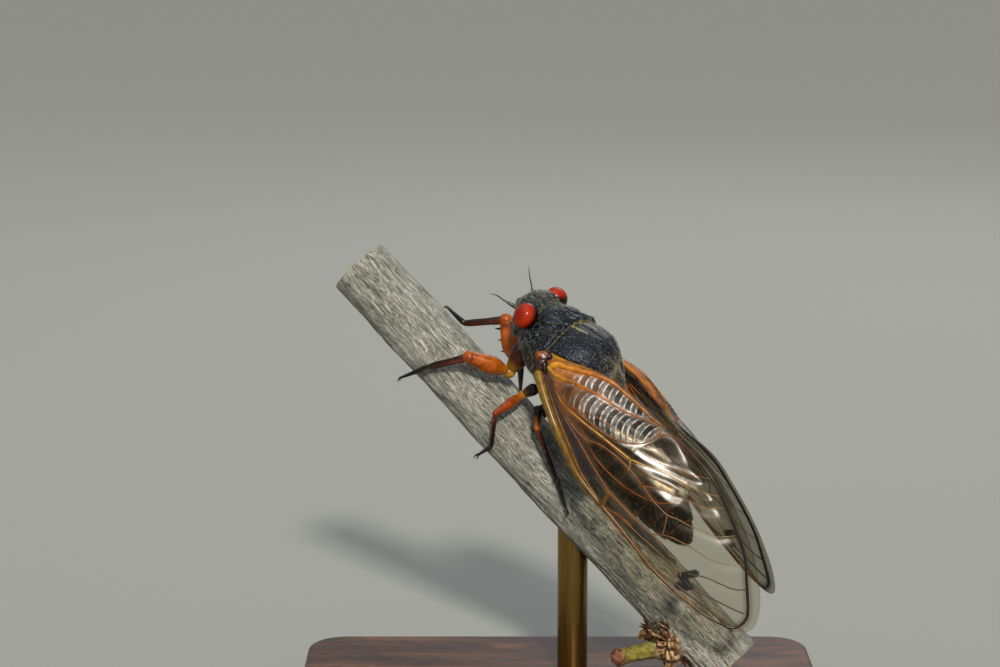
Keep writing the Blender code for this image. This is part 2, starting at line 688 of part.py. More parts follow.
def make_perch(bark):
    """The branch along its own z axis, gently ribbed, with the stub of a broken twig."""
    top = Vector(PERCH_TOP)
    foot = Vector(PERCH_FOOT)
    length = (foot - top).length
    rings = []
    for row in range(PERCH_RINGS):
        height = length * row / (PERCH_RINGS - 1)
        sway = 0.12 * math.sin(0.16 * height)
        ring = []
        for column in range(PERCH_SIDES):
            turn = math.tau * column / PERCH_SIDES
            ripple = PERCH_RIPPLE * math.sin(3 * turn + 0.21 * height) * math.sin(0.33 * height + turn)
            radius = PERCH_DIAMETER / 2 + ripple
            ring.append((radius * math.cos(turn) + sway, radius * math.sin(turn), height))
        rings.append(ring)
    points, faces = lofted(rings)
    perch = solid("perch_branch", points, faces, bark)
    turn = (foot - top).to_track_quat("Z", "Y")
    lean = turn.inverted() @ Vector(KNOT_LEAN).normalized()
    root = Vector((0, 0, length * STUB_ALONG_PERCH))
    neck = root + lean * KNOT_REACH
    tip = root + turn.inverted() @ Vector(PEG_TIP)
    course = [root + lean * KNOT_REACH * share for share in (0.2, 0.6, 0.85)]
    course += [neck.lerp(tip, share) for share in (0.05, 0.2, 0.5, 0.78, 0.9, 1.0)]
    widths = [KNOT_DIAMETER * share for share in (0.95, 1.0, 0.8)]
    widths += [PEG_DIAMETER * share for share in (1.5, 1.1, 1.0, 1.0, 1.3, 0.6)]
    points, faces = tube(course, widths, 12)
    rng = np.random.default_rng(7)
    points = [Vector(point) + Vector(rng.uniform(-0.18, 0.18, 3)) for point in points]
    stub = solid("stub", points, faces, bark)
    branch = joined("perch_branch", [perch, stub], bark, None)
    branch.location = top * MM
    branch.rotation_mode = "QUATERNION"
    branch.rotation_quaternion = turn
    return branch


def make_stand(wood, brass):
    half_width = BASE_WIDTH / 2 - BASE_CORNER
    half_depth = BASE_DEPTH / 2 - BASE_CORNER
    outline = []
    for quarter in range(4):
        centre_x = half_width * (1 if quarter in (0, 3) else -1)
        centre_y = half_depth * (1 if quarter in (0, 1) else -1)
        for step in range(7):
            angle = math.pi / 2 * (quarter + step / 6)
            outline.append((centre_x, centre_y, math.cos(angle), math.sin(angle)))
    rings = []
    for height, inset in ((0.0, 0.0), (BASE_HEIGHT - BASE_BEVEL, 0.0), (BASE_HEIGHT, BASE_BEVEL)):
        corner = BASE_CORNER - inset
        rings.append([(x + corner * c, y + corner * s, height) for x, y, c, s in outline])
    points, faces = lofted(rings)
    solid("stand_base", points, faces, wood)
    top = Vector(PERCH_TOP)
    foot = Vector(PERCH_FOOT)
    under = top.lerp(foot, ROD_ALONG_PERCH)
    across = (foot - top).normalized()
    slope = math.sqrt(1 - across.z**2)
    reach = PERCH_DIAMETER / 2 + PERCH_RIPPLE + GAP
    rod_top = []
    for index in range(16):
        turn = math.tau * index / 16
        x = ROD_DIAMETER / 2 * math.cos(turn)
        y = ROD_DIAMETER / 2 * math.sin(turn)
        forwards = (x * across.x + y * across.y) / slope
        sideways = (y * across.x - x * across.y) / slope
        dip = math.sqrt(reach**2 - sideways**2)
        rod_top.append((under.x + x, under.y + y, under.z + forwards * across.z / slope - dip / slope))
    rod_foot = [(x, y, BASE_HEIGHT + GAP) for x, y, _ in rod_top]
    points, faces = lofted([rod_foot, rod_top])
    middle_dip = under.z - reach / slope
    points[-1] = (under.x, under.y, middle_dip)
    solid("stand_rod", points, faces, brass)


def main():
    clear_scene()
    chitin = finish("black chitin", (0.006, 0.008, 0.013), 0.35)
    red = finish("red eye", (0.6, 0.03, 0.008), 0.15)
    orange = finish("orange chitin", (0.55, 0.11, 0.012), 0.35)
    membrane = finish("wing membrane", (0.55, 0.36, 0.12), 0.25)
    bark = finish("grey bark", (0.32, 0.28, 0.2), 0.85)
    wood = finish("oiled walnut", (0.07, 0.03, 0.014), 0.45)
    brass = finish("brushed brass", (0.6, 0.4, 0.15), 0.35, 1.0)

    pose = bpy.data.objects.new("body_pose", None)
    bpy.context.collection.objects.link(pose)
    pose.location = Vector(BODY_AT) * MM
    pose.rotation_euler = Euler([math.radians(angle) for angle in BODY_TURN])

    make_head(chitin, pose)
    for label, centre in EYES.items():
        ellipsoid(f"eye_{label}", centre, EYE_RADII, 16, 12, red, pose)
    shield = body_length("pronotum", PRONOTUM_STATIONS, 36, 4, chitin, pose, pronotum_relief)
    cut_by(shield, eye_sockets(chitin, pose), chitin, pose)
    thorax = body_length("mesothorax", MESOTHORAX_STATIONS, 36, 4, chitin, pose, mesothorax_relief)
    slots = [wing_clearance(side, pose, chitin) for side in (1, -1)]
    cut_by(thorax, slots, chitin, pose)
    body_length("abdomen", ABDOMEN_STATIONS, 26, 4, chitin, pose, abdomen_relief)

    for side, label in ((1, "left"), (-1, "right")):
        wing(f"forewing_{label}", FOREWING_OUTLINE, FOREWING_VEINS, side, 0.0, WING_THICKNESS, membrane, pose)
        sink = WING_THICKNESS + GAP + 0.25
        wing(f"hindwing_{label}", HINDWING_OUTLINE, HINDWING_VEINS, side, sink, WING_THICKNESS - 0.1, membrane, pose)

    limb("foreleg_left", FORE_LEFT, FORE_THICKNESS, orange, pose, spines=3)
    limb("foreleg_right", FORE_RIGHT, FORE_THICKNESS, orange, pose, spines=3)
    limb("midleg_left", MID_LEFT, WALKING_THICKNESS, orange, pose)
    limb("midleg_right", MID_RIGHT, WALKING_THICKNESS, orange, pose)
    limb("hindleg_left", HIND_LEFT, WALKING_THICKNESS, orange, pose, spurs=SPURS)
    limb("hindleg_right", HIND_RIGHT, WALKING_THICKNESS, orange, pose, spurs=SPURS)

    points, faces = tube(BEAK_COURSE, BEAK_THICKNESS, 8)
    solid("beak", points, faces, chitin, pose)
    for label, course in (("left", ANTENNA_LEFT), ("right", ANTENNA_RIGHT)):
        points, faces = tube(course, ANTENNA_THICKNESS, 6)
        solid(f"antenna_{label}", points, faces, chitin, pose)

    make_perch(bark)
    make_stand(wood, brass)


main()
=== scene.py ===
import math

import bmesh
import bpy
import numpy as np
from mathutils import Euler, Matrix, Vector
from mathutils.geometry import delaunay_2d_cdt


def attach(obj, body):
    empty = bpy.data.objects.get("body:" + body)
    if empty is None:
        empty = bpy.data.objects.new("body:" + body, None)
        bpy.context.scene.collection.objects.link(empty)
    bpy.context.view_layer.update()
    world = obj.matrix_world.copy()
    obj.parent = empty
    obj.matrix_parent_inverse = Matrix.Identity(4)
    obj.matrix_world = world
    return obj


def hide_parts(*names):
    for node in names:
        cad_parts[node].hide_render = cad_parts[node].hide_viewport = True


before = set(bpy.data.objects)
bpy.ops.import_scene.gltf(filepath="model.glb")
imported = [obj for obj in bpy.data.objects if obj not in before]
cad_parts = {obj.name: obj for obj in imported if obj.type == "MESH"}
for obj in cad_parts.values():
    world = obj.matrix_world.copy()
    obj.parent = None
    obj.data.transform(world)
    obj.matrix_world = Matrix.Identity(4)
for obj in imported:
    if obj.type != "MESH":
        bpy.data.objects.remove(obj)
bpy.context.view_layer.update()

# Studio. A pale matt floor that runs out of the picture, one bright lamp behind and above the camera where
# the sun stands, which draws the gloss on eyes and wings, a soft lamp overhead and one behind that shines
# through the wings.
MM = 0.001
SUBJECT = Vector((-0.006, 0.008, 0.03815))
VIEW_DOWN = math.radians(10)
VIEW_REACH = 0.278
LENS = 100
SENSOR_WIDTH = 36
FLOOR_SIDE = 12
SKY_STRENGTH = 0.42


def linear(code):
    """An sRGB hex colour as the linear colour that shaders take."""
    parts = [int(code[k : k + 2], 16) / 255 for k in (1, 3, 5)]
    return [p / 12.92 if p <= 0.04045 else ((p + 0.055) / 1.055) ** 2.4 for p in parts] + [1.0]


def link_up(node, links):
    """Runs links into a node's sockets, each from a socket or from the main output of another node."""
    for name, source in links.items():
        if isinstance(source, bpy.types.Node):
            main = 2 if source.bl_idname == "ShaderNodeMix" else 0
            source = source.outputs["Fac" if "Fac" in source.outputs else main]
        node.id_data.links.new(source, node.inputs[name])


def add_node(tree, kind, settings=None, links=None):
    """One shader node: settings go to its properties, ramp stops or sockets, and then its links are run."""
    node = tree.nodes.new("ShaderNode" + kind)
    for name, value in (settings or {}).items():
        if name == "stops":
            while len(node.color_ramp.elements) < len(value):
                node.color_ramp.elements.new(0.5)
            for stop, (place, code) in zip(node.color_ramp.elements, value):
                stop.position = place
                stop.color = linear(code)
        elif isinstance(name, str) and hasattr(node, name):
            setattr(node, name, value)
        else:
            node.inputs[name].default_value = value
    link_up(node, links or {})
    return node


def finish(name, settings):
    """A new material: its tree and its shader, whose sockets are set."""
    material = bpy.data.materials.new(name)
    material.use_nodes = True
    shader = material.node_tree.nodes["Principled BSDF"]
    for socket, value in settings.items():
        shader.inputs[socket].default_value = value
    return material, material.node_tree, shader


bpy.ops.object.select_all(action="DESELECT")
offset = Vector((0, -math.cos(VIEW_DOWN), math.sin(VIEW_DOWN))) * VIEW_REACH
bpy.ops.object.camera_add(location=SUBJECT + offset, rotation=(math.pi / 2 - VIEW_DOWN, 0, 0))
camera = bpy.context.object
camera.data.lens = LENS
camera.data.sensor_width = SENSOR_WIDTH
camera.data.clip_start = 0.01
bpy.context.scene.camera = camera

bpy.ops.mesh.primitive_plane_add(size=FLOOR_SIDE, location=(0, 2, 0))
floor = bpy.context.object
floor.name = "floor"
paper, tree, shader = finish("matt paper", {"Base Color": linear("#8f928c"), "Roughness": 0.9})
floor.data.materials.append(paper)

# Each lamp: its kind, name, place from the subject, size, strength and colour.
LAMPS = (
    ("SUN", "key", (0.1, -0.84, 0.52), math.radians(6), 3.6, "#fff6ea"),
    ("AREA", "top", (-0.1, -0.1, 0.45), 0.45, 0.7, "#f4f8ff"),
    ("AREA", "back", (0.12, 0.35, 0.3), 0.25, 0.5, "#ffffff"),
)
for kind, name, place, size, strength, colour in LAMPS:
    bpy.ops.object.light_add(type=kind, location=SUBJECT + Vector(place))
    lamp = bpy.context.object
    lamp.name = name
    if kind == "SUN":
        lamp.data.angle = size
    else:
        lamp.data.size = size
    lamp.data.energy = strength
    lamp.data.color = linear(colour)[:3]
    lamp.rotation_euler = Vector(place).to_track_quat("Z", "Y").to_euler()
world = bpy.data.worlds.new("studio")
world.use_nodes = True
world.node_tree.nodes["Background"].inputs["Color"].default_value = linear("#dfe4ea")
world.node_tree.nodes["Background"].inputs["Strength"].default_value = SKY_STRENGTH
bpy.context.scene.world = world
bpy.context.scene.view_settings.view_transform = "Standard"

# Display stand. An oiled walnut slab with rounded corners and a softened top edge, and one brushed brass rod,
# hollowed at its top to take the branch that it holds.
BASE = (52.0, 36.0, 4.0)
BASE_CORNER = 4.0
BASE_BEVEL = 0.6
ROD_RADIUS = 1.5
ROD_ALONG_PERCH = 0.58
SMOOTH_BELOW = math.radians(35)
PERCH_TOP = Vector((-20.2, 11.1, 44.5))
PERCH_FOOT = Vector((16.8, -1.6, 6.62))
PERCH_RADIUS = 3.2


def select_edges(thing, wanted):
    """In edit mode, selects just the edges whose two ends wanted() accepts."""
    bpy.ops.mesh.select_all(action="DESELECT")
    bpy.ops.mesh.select_mode(type="EDGE")
    shape = bmesh.from_edit_mesh(thing.data)
    for edge in shape.edges:
        edge.select_set(wanted(*[vert.co for vert in edge.verts]))
    bmesh.update_edit_mesh(thing.data)


def select_only(*things):
    """Selects just these objects, the first of them active."""
    bpy.ops.object.select_all(action="DESELECT")
    for thing in things:
        thing.select_set(True)
    bpy.context.view_layer.objects.active = things[0]


def bake_place(thing, frame_place=None):
    """Puts an object's place, turn and size into its mesh, or those of the frame in which it was modelled."""
    if frame_place is not None:
        thing.matrix_world = frame_place
    select_only(thing)
    bpy.ops.object.transform_apply(location=True, rotation=True, scale=True)


def fit(piece, material, slot, *nodes):
    """Finishes a piece: its material, its body and the solids that it stands for; its material slot is not
    used.
    """
    piece.data.materials.clear()
    piece.data.materials.append(material)
    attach(piece, "root")
    if nodes:
        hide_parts(*nodes)


bpy.ops.object.select_all(action="DESELECT")
bpy.ops.mesh.primitive_cube_add(size=1, location=(0, 0, BASE[2] / 2 * MM), scale=[side * MM for side in BASE])
slab = bpy.context.object
slab.name = "stand_slab"
bake_place(slab)
bpy.ops.object.mode_set(mode="EDIT")
select_edges(slab, lambda a, b: abs(a.z - b.z) > 1 * MM)
bpy.ops.mesh.bevel(offset=BASE_CORNER * MM, segments=12)
select_edges(slab, lambda a, b: min(a.z, b.z) > (BASE[2] - 0.01) * MM)
bpy.ops.mesh.bevel(offset=BASE_BEVEL * MM, segments=5)
bpy.ops.object.mode_set(mode="OBJECT")
bpy.ops.object.shade_smooth_by_angle(angle=SMOOTH_BELOW)

walnut, tree, shader = finish("oiled walnut", {"IOR": 1.48, "Roughness": 0.42})
# Growth rings show as brown figure about 3 mm wide along the slab, and open pores as short dark strokes.
place = add_node(tree, "TexCoord").outputs["Object"]
figure = add_node(tree, "Mapping", {"Scale": (70, 520, 520)}, {"Vector": place})
rings = add_node(tree, "TexNoise", {"Scale": 1.0, "Detail": 5, "Distortion": 0.8}, {"Vector": figure})
pores = add_node(tree, "Mapping", {"Scale": (600, 5200, 5200)}, {"Vector": place})
strokes = add_node(tree, "TexNoise", {"Scale": 1.0, "Detail": 2}, {"Vector": pores})
brown = add_node(tree, "ValToRGB", {"stops": ((0.3, "#24150d"), (0.5, "#4a2d1b"), (0.7, "#6b452b"))},
                 {"Fac": rings})
dark = add_node(tree, "ValToRGB", {"stops": ((0.36, "#3a2b20"), (0.46, "#ffffff"))}, {"Fac": strokes})
both = add_node(tree, "Mix", {"data_type": "RGBA", "blend_type": "MULTIPLY", 0: 0.8}, {6: brown, 7: dark})
bump = add_node(tree, "Bump", {"Strength": 0.3, "Distance": 0.00008}, {"Height": dark})
link_up(shader, {"Base Color": both, "Normal": bump})
fit(slab, walnut, "stand_wood", "stand_base")

under = PERCH_TOP.lerp(PERCH_FOOT, ROD_ALONG_PERCH)
run = (PERCH_FOOT - PERCH_TOP).normalized()
slope = math.sqrt(1 - run.z**2)
bpy.ops.object.select_all(action="DESELECT")
bpy.ops.mesh.primitive_cylinder_add(vertices=64, radius=ROD_RADIUS * MM, depth=0.02, end_fill_type="TRIFAN",
                                    location=(under.x * MM, under.y * MM, 0.02))
rod = bpy.context.object
rod.name = "stand_pillar"
bake_place(rod)
for vert in rod.data.vertices:
    if vert.co.z < 0.02:
        vert.co.z = BASE[2] * MM
        continue
    x = vert.co.x / MM - under.x
    y = vert.co.y / MM - under.y
    forwards = (x * run.x + y * run.y) / slope
    sideways = (y * run.x - x * run.y) / slope
    dip = math.sqrt((PERCH_RADIUS - 0.05) ** 2 - sideways**2)
    vert.co.z = (under.z + forwards * run.z / slope - dip / slope) * MM
bpy.ops.object.shade_smooth_by_angle(angle=SMOOTH_BELOW)
brass, tree, shader = finish("brushed brass", {"Metallic": 1.0, "Roughness": 0.3, "Anisotropic": 0.5})
# Brushing along the rod leaves fine streaks of brighter and duller metal.
place = add_node(tree, "TexCoord").outputs["Object"]
along = add_node(tree, "Mapping", {"Scale": (9000, 9000, 160)}, {"Vector": place})
streaks = add_node(tree, "TexNoise", {"Scale": 1.0, "Detail": 3}, {"Vector": along})
gold = add_node(tree, "ValToRGB", {"stops": ((0.3, "#6e5428"), (0.7, "#957540"))}, {"Fac": streaks})
dull = add_node(tree, "MapRange", {"To Min": 0.24, "To Max": 0.42}, {"Value": streaks})
link_up(shader, {"Base Color": gold, "Roughness": dull})
fit(rod, brass, "stand_brass", "stand_rod")

# Perch. A cut length of a living twig in silver-grey bark that has begun to crack lengthwise, with the knot
# of a side twig that was torn off down to a short green peg. Twig, knot and peg are one remeshed skin.
PERCH_RIPPLE = 0.1
KNOT_ALONG_PERCH = 0.9
KNOT_RADIUS = 2.4
KNOT_REACH = 4.0
KNOT_LEAN = Vector((-0.8, -0.36, -0.48)).normalized()
PEG_RADIUS = 0.8
PEG_TIP = Vector((-8.2, -2.0, -2.9))
PERCH_LENGTH = (PERCH_FOOT - PERCH_TOP).length
PERCH_TURN = (PERCH_FOOT - PERCH_TOP).to_track_quat("Z", "Y")
PERCH_PLACE = Matrix.Translation(PERCH_TOP * MM) @ PERCH_TURN.to_matrix().to_4x4() @ Matrix.Scale(MM, 4)
PERCH_GRAIN = 0.17
FLAKES = 70


def waves(first, second, seed, count, low, high):
    """Even, seeded ripple over two coordinates, about -1 to 1."""
    rng = np.random.default_rng(seed)
    total = 0
    for _ in range(count):
        a, b = rng.uniform(low, high, 2) * rng.choice((-1, 1), 2)
        total = total + np.sin(a * first + b * second + rng.uniform(0, math.tau))
    return total / math.sqrt(count)


def positions(mesh):
    """The vertices of a mesh as rows of numbers."""
    rows = np.empty(len(mesh.vertices) * 3)
    mesh.vertices.foreach_get("co", rows)
    return rows.reshape(-1, 3)


def set_positions(mesh, rows):
    """Moves the vertices of a mesh to rows of numbers."""
    mesh.vertices.foreach_set("co", np.ascontiguousarray(rows).ravel())
    mesh.update()


def surface_normals(mesh):
    """The way that the surface faces at each vertex."""
    rows = np.empty(len(mesh.vertices) * 3)
    mesh.vertices.foreach_get("normal", rows)
    return rows.reshape(-1, 3)


def give_mask(mesh, name, values):
    """A number on each vertex that the material reads by name."""
    mask = mesh.attributes.new(name, "FLOAT", "POINT")
    mask.data.foreach_set("value", np.ascontiguousarray(values, dtype=np.float32))


def voxel_remesh(thing, size, softening=3):
    """Fuses all closed forms in a mesh to one skin of even squares."""
    select_only(thing)
    mould = thing.modifiers.new("mould", "REMESH")
    mould.mode = "VOXEL"
    mould.voxel_size = size
    bpy.ops.object.modifier_apply(modifier=mould.name)
    soften = thing.modifiers.new("soften", "SMOOTH")
    soften.iterations = softening
    bpy.ops.object.modifier_apply(modifier=soften.name)
    thing.data.shade_smooth()


def smooth_course(points, steps):
    """A smooth curve through the points, with this many steps between two of them."""
    points = np.asarray(points, float)
    ends = np.vstack([2 * points[0] - points[1], points, 2 * points[-1] - points[-2]])
    course = []
    for index in range(len(points) - 1):
        a, b, c, d = ends[index : index + 4]
        for step in range(steps):
            t = step / steps
            course.append(0.5 * (2 * b + (c - a) * t + (2 * a - 5 * b + 4 * c - d) * t**2
                                 + (3 * b - a - 3 * c + d) * t**3))
    course.append(points[-1])
    return np.array(course)


def unit(rows):
    """One direction, or each row of many, at a length of 1."""
    return rows / (np.linalg.norm(rows) if rows.ndim == 1 else np.linalg.norm(rows, axis=1)[:, None])


def new_thing(name, points, faces, closed=True):
    """An object with a mesh of its own, whose faces point outwards if it is closed."""
    mesh = bpy.data.meshes.new(name)
    mesh.from_pydata(points.tolist(), [], faces)
    if closed:
        shape = bmesh.new()
        shape.from_mesh(mesh)
        bmesh.ops.recalc_face_normals(shape, faces=shape.faces)
        shape.to_mesh(mesh)
        shape.free()
    thing = bpy.data.objects.new(name, mesh)
    bpy.context.collection.objects.link(thing)
    return thing


def closed_form(name, rings):
    """A closed skin over rings of equal count, with a fan at each end."""
    rings = np.asarray(rings, float)
    rows, count, _ = rings.shape
    points = np.vstack([rings.reshape(-1, 3), rings[0].mean(axis=0), rings[-1].mean(axis=0)])
    faces = []
    for row in range(rows - 1):
        for column in range(count):
            a = row * count + column
            b = row * count + (column + 1) % count
            faces.append((a, b, b + count, a + count))
    for row, middle in ((0, rows * count), (rows - 1, rows * count + 1)):
        for column in range(count):
            faces.append((row * count + column, row * count + (column + 1) % count, middle))
    return new_thing(name, points, faces)


def bar_rings(course, radii, sides, flat=1.0, flat_way=None):
    """Rings of a bar along a course, its frame carried along so that it doesn't twist."""
    course = np.asarray(course, float)
    along = unit(np.gradient(course, axis=0))
    across = np.array(Vector(along[0]).orthogonal()) if flat_way is None else np.array(flat_way, float)
    angle = np.linspace(0, math.tau, sides, endpoint=False)
    rings = []
    for index, point in enumerate(course):
        across = unit(across - along[index] * (across @ along[index]))
        third = np.cross(along[index], across)
        around = np.outer(np.cos(angle), across) + flat * np.outer(np.sin(angle), third)
        rings.append(point + radii[index] * around)
    return rings


def join_all(things):
    """Joins objects to one, the first of them, without fusing their meshes."""
    select_only(*things)
    bpy.ops.object.join()
    return things[0]


bpy.ops.object.select_all(action="DESELECT")
bpy.ops.mesh.primitive_cylinder_add(vertices=96, radius=PERCH_RADIUS, depth=PERCH_LENGTH,
                                    location=(0, 0, PERCH_LENGTH / 2))
perch = bpy.context.object
perch.name = "perch"
bake_place(perch)
bpy.ops.object.mode_set(mode="EDIT")
select_edges(perch, lambda a, b: abs(a.z - b.z) > 1)
bpy.ops.mesh.subdivide(number_cuts=200)
bpy.ops.object.mode_set(mode="OBJECT")
rows = positions(perch.data)
turn = np.arctan2(rows[:, 1], rows[:, 0])
height = rows[:, 2]
ripple = PERCH_RIPPLE * np.sin(3 * turn + 0.21 * height) * np.sin(0.33 * height + turn)
rows[:, 0] = (PERCH_RADIUS + ripple) * np.cos(turn) + 0.12 * np.sin(0.16 * height)
rows[:, 1] = (PERCH_RADIUS + ripple) * np.sin(turn)
set_positions(perch.data, rows)

knot_lean = np.array(PERCH_TURN.inverted() @ KNOT_LEAN)
knot_root = np.array((0, 0, PERCH_LENGTH * KNOT_ALONG_PERCH))
knot_end = knot_root + knot_lean * KNOT_REACH
peg_tip = knot_root + np.array(PERCH_TURN.inverted() @ PEG_TIP)
course = knot_root + np.outer(np.linspace(0.2, 1.0, 12), knot_end - knot_root)
radii = KNOT_RADIUS * np.interp(np.linspace(0.2, 1.0, 12), (0.2, 0.6, 0.85, 1.0), (0.95, 1.0, 0.8, 0.5))
knot = closed_form("knot", bar_rings(course, radii, 48))
share = np.linspace(-0.3, 1, 30)
course = knot_end + np.outer(share, peg_tip - knot_end)
radii = PEG_RADIUS * np.interp(share, (-0.3, 0.05, 0.2, 0.6, 0.74, 0.88, 1.0),
                               (1.5, 1.5, 1.1, 0.95, 1.0, 1.3, 0.5))
peg = closed_form("peg", bar_rings(course, radii, 32))
perch = join_all([perch, knot, peg])
voxel_remesh(perch, PERCH_GRAIN)
rows = positions(perch.data)
normals = surface_normals(perch.data)
turn = np.arctan2(rows[:, 1], rows[:, 0])
height = rows[:, 2]
stands_out = np.clip((np.hypot(rows[:, 0], rows[:, 1]) - PERCH_RADIUS - 0.15) / 0.3, 0, 1)
along_peg = (rows - knot_end) @ (peg_tip - knot_end) / np.sum((peg_tip - knot_end) ** 2)
off_peg = np.linalg.norm(rows - knot_end - np.outer(along_peg, peg_tip - knot_end), axis=1)
on_peg = np.clip((along_peg - 0.08) / 0.1, 0, 1) * (off_peg < 1.4) * (along_peg > 0)
torn = stands_out * (1 - on_peg)
cut = np.clip((np.abs(height - PERCH_LENGTH / 2) - PERCH_LENGTH / 2 + 0.12) / 0.08, 0, 1)
grooves = 0.045 * waves(turn * PERCH_RADIUS, height * 0.16, 11, 14, 2, 9) * (1 - stands_out) * (1 - cut)
rows += normals * grooves[:, None]
crumbs = waves(rows[:, 0] + rows[:, 2] * 0.7, rows[:, 1] - rows[:, 2] * 0.6, 5, 16, 2, 7)
rows += normals * (0.12 * torn * crumbs + 0.04 * on_peg * crumbs)[:, None]
set_positions(perch.data, rows)
give_mask(perch.data, "torn", torn)
give_mask(perch.data, "peg", on_peg)
give_mask(perch.data, "bud", np.clip((along_peg - 0.7) / 0.1, 0, 1) * on_peg)
give_mask(perch.data, "cut", cut)
bake_place(perch, PERCH_PLACE)

# Thin curled flakes of torn bark stand round the knot.
rng = np.random.default_rng(21)
first = unit(np.cross(knot_lean, (0, 0, 1)))
second = np.cross(knot_lean, first)
flakes = []
for _ in range(FLAKES):
    turn = rng.uniform(0, math.tau)
    out = math.cos(turn) * first + math.sin(turn) * second
    foot = knot_root + knot_lean * rng.uniform(2.6, 3.9) + out * rng.uniform(0.7, 2.1)
    if math.hypot(foot[0], foot[1]) < PERCH_RADIUS - 0.1:
        continue
    way = unit(out * rng.uniform(0.4, 1.0) + knot_lean * rng.uniform(-0.1, 0.7) + rng.normal(0, 0.3, 3))
    long = rng.uniform(0.9, 1.7)
    curl = knot_lean * rng.uniform(-0.2, 0.5) + rng.normal(0, 0.15, 3)
    course = [foot - way * 0.3, foot + way * long * 0.5, foot + way * long * 0.8 + curl * 0.4,
              foot + way * long + curl]
    broad = long * rng.uniform(0.7, 1.3) * np.array((0.3, 0.42, 0.5, 0.42, 0.36, 0.22, 0.03))
    bar = bar_rings(smooth_course(course, 2), broad, 8, 0.07, np.cross(way, knot_lean))
    flakes.append(closed_form("flake", bar))
flakes = join_all(flakes)
flakes.name = "torn_bark"
give_mask(flakes.data, "torn", np.ones(len(flakes.data.vertices)))
bake_place(flakes, PERCH_PLACE)

bark, tree, shader = finish("grey twig bark", {"IOR": 1.45, "Roughness": 0.85})
# Silver-grey streaks 0.3 mm wide run along the twig, broken by dark hair cracks; torn wood shows brown.
place = add_node(tree, "TexCoord").outputs["Object"]
own = add_node(tree, "Mapping", {"vector_type": "TEXTURE", "Location": PERCH_TOP * MM,
               "Rotation": PERCH_TURN.to_euler(), "Scale": (MM, MM, MM)}, {"Vector": place})
long_way = add_node(tree, "Mapping", {"Scale": (3.0, 3.0, 0.34)}, {"Vector": own})
streaks = add_node(tree, "TexNoise", {"Scale": 1.0, "Detail": 9, "Roughness": 0.7, "Distortion": 1.6},
                   {"Vector": long_way})
fine_way = add_node(tree, "Mapping", {"Scale": (8.0, 8.0, 1.0), "Rotation": (0.05, 0.06, 0)}, {"Vector": own})
cracks = add_node(tree, "TexNoise", {"Scale": 1.0, "Detail": 6, "Roughness": 0.6, "Distortion": 2.2},
                  {"Vector": fine_way})
half = add_node(tree, "Math", {"operation": "MULTIPLY", 1: 0.45}, {0: streaks})
both = add_node(tree, "Math", {"operation": "MULTIPLY_ADD", 1: 0.55}, {0: cracks, 2: half})
greys = add_node(tree, "ValToRGB",
                 {"stops": ((0.39, "#282826"), (0.45, "#5e5f58"), (0.51, "#8f9088"), (0.58, "#c6c7be"))},
                 {"Fac": both})
patches = add_node(tree, "TexNoise", {"Scale": 0.4, "Detail": 4}, {"Vector": own})
warm = add_node(tree, "ValToRGB", {"stops": ((0.35, "#9fa393"), (0.5, "#d2d4c8"), (0.65, "#f6f6f2"))},
                {"Fac": patches})
tinted = add_node(tree, "Mix", {"data_type": "RGBA", "blend_type": "MULTIPLY", 0: 0.5}, {6: greys, 7: warm})
splinters = add_node(tree, "TexNoise", {"Scale": 2.2, "Detail": 6}, {"Vector": own})
wood = add_node(tree, "ValToRGB",
                {"stops": ((0.36, "#2e1c10"), (0.46, "#77502c"), (0.56, "#a88658"), (0.66, "#d2bfa2"))},
                {"Fac": splinters})
olive = add_node(tree, "ValToRGB", {"stops": ((0.35, "#5d5420"), (0.6, "#8c8238"))}, {"Fac": splinters})
rust = add_node(tree, "ValToRGB", {"stops": ((0.35, "#42201a"), (0.6, "#8a5a44"))}, {"Fac": splinters})
rings = add_node(tree, "TexWave",
                 {"wave_type": "RINGS", "rings_direction": "Z", "Scale": 0.5, "Distortion": 1.2},
                 {"Vector": own})
sawn = add_node(tree, "ValToRGB", {"stops": ((0.0, "#a8895c"), (1.0, "#d9c097"))}, {"Fac": rings})
colour = tinted
for mask, layer in (("torn", wood), ("peg", olive), ("bud", rust), ("cut", sawn)):
    amount = add_node(tree, "Attribute", {"attribute_name": mask})
    colour = add_node(tree, "Mix", {"data_type": "RGBA"}, {0: amount, 6: colour, 7: layer})
bump = add_node(tree, "Bump", {"Strength": 0.9, "Distance": 0.0002}, {"Height": both})
link_up(shader, {"Base Color": colour, "Normal": bump})
fit(perch, bark, "bark", "perch_branch")
fit(flakes, bark, "bark")

# Body. Head, shield, back and abdomen are one hard black shell with a blue gloss, creased where its plates
# meet. It is moulded from the same sections as the solids, in the body's own frame, and remeshed as one skin.
BODY_AT = Vector((-3.68, 3.72, 42.67))
BODY_TURN = Euler([math.radians(angle) for angle in (-10.6, -48.1, 150.5)])
BODY_PLACE = Matrix.Translation(BODY_AT * MM) @ BODY_TURN.to_matrix().to_4x4() @ Matrix.Scale(MM, 4)
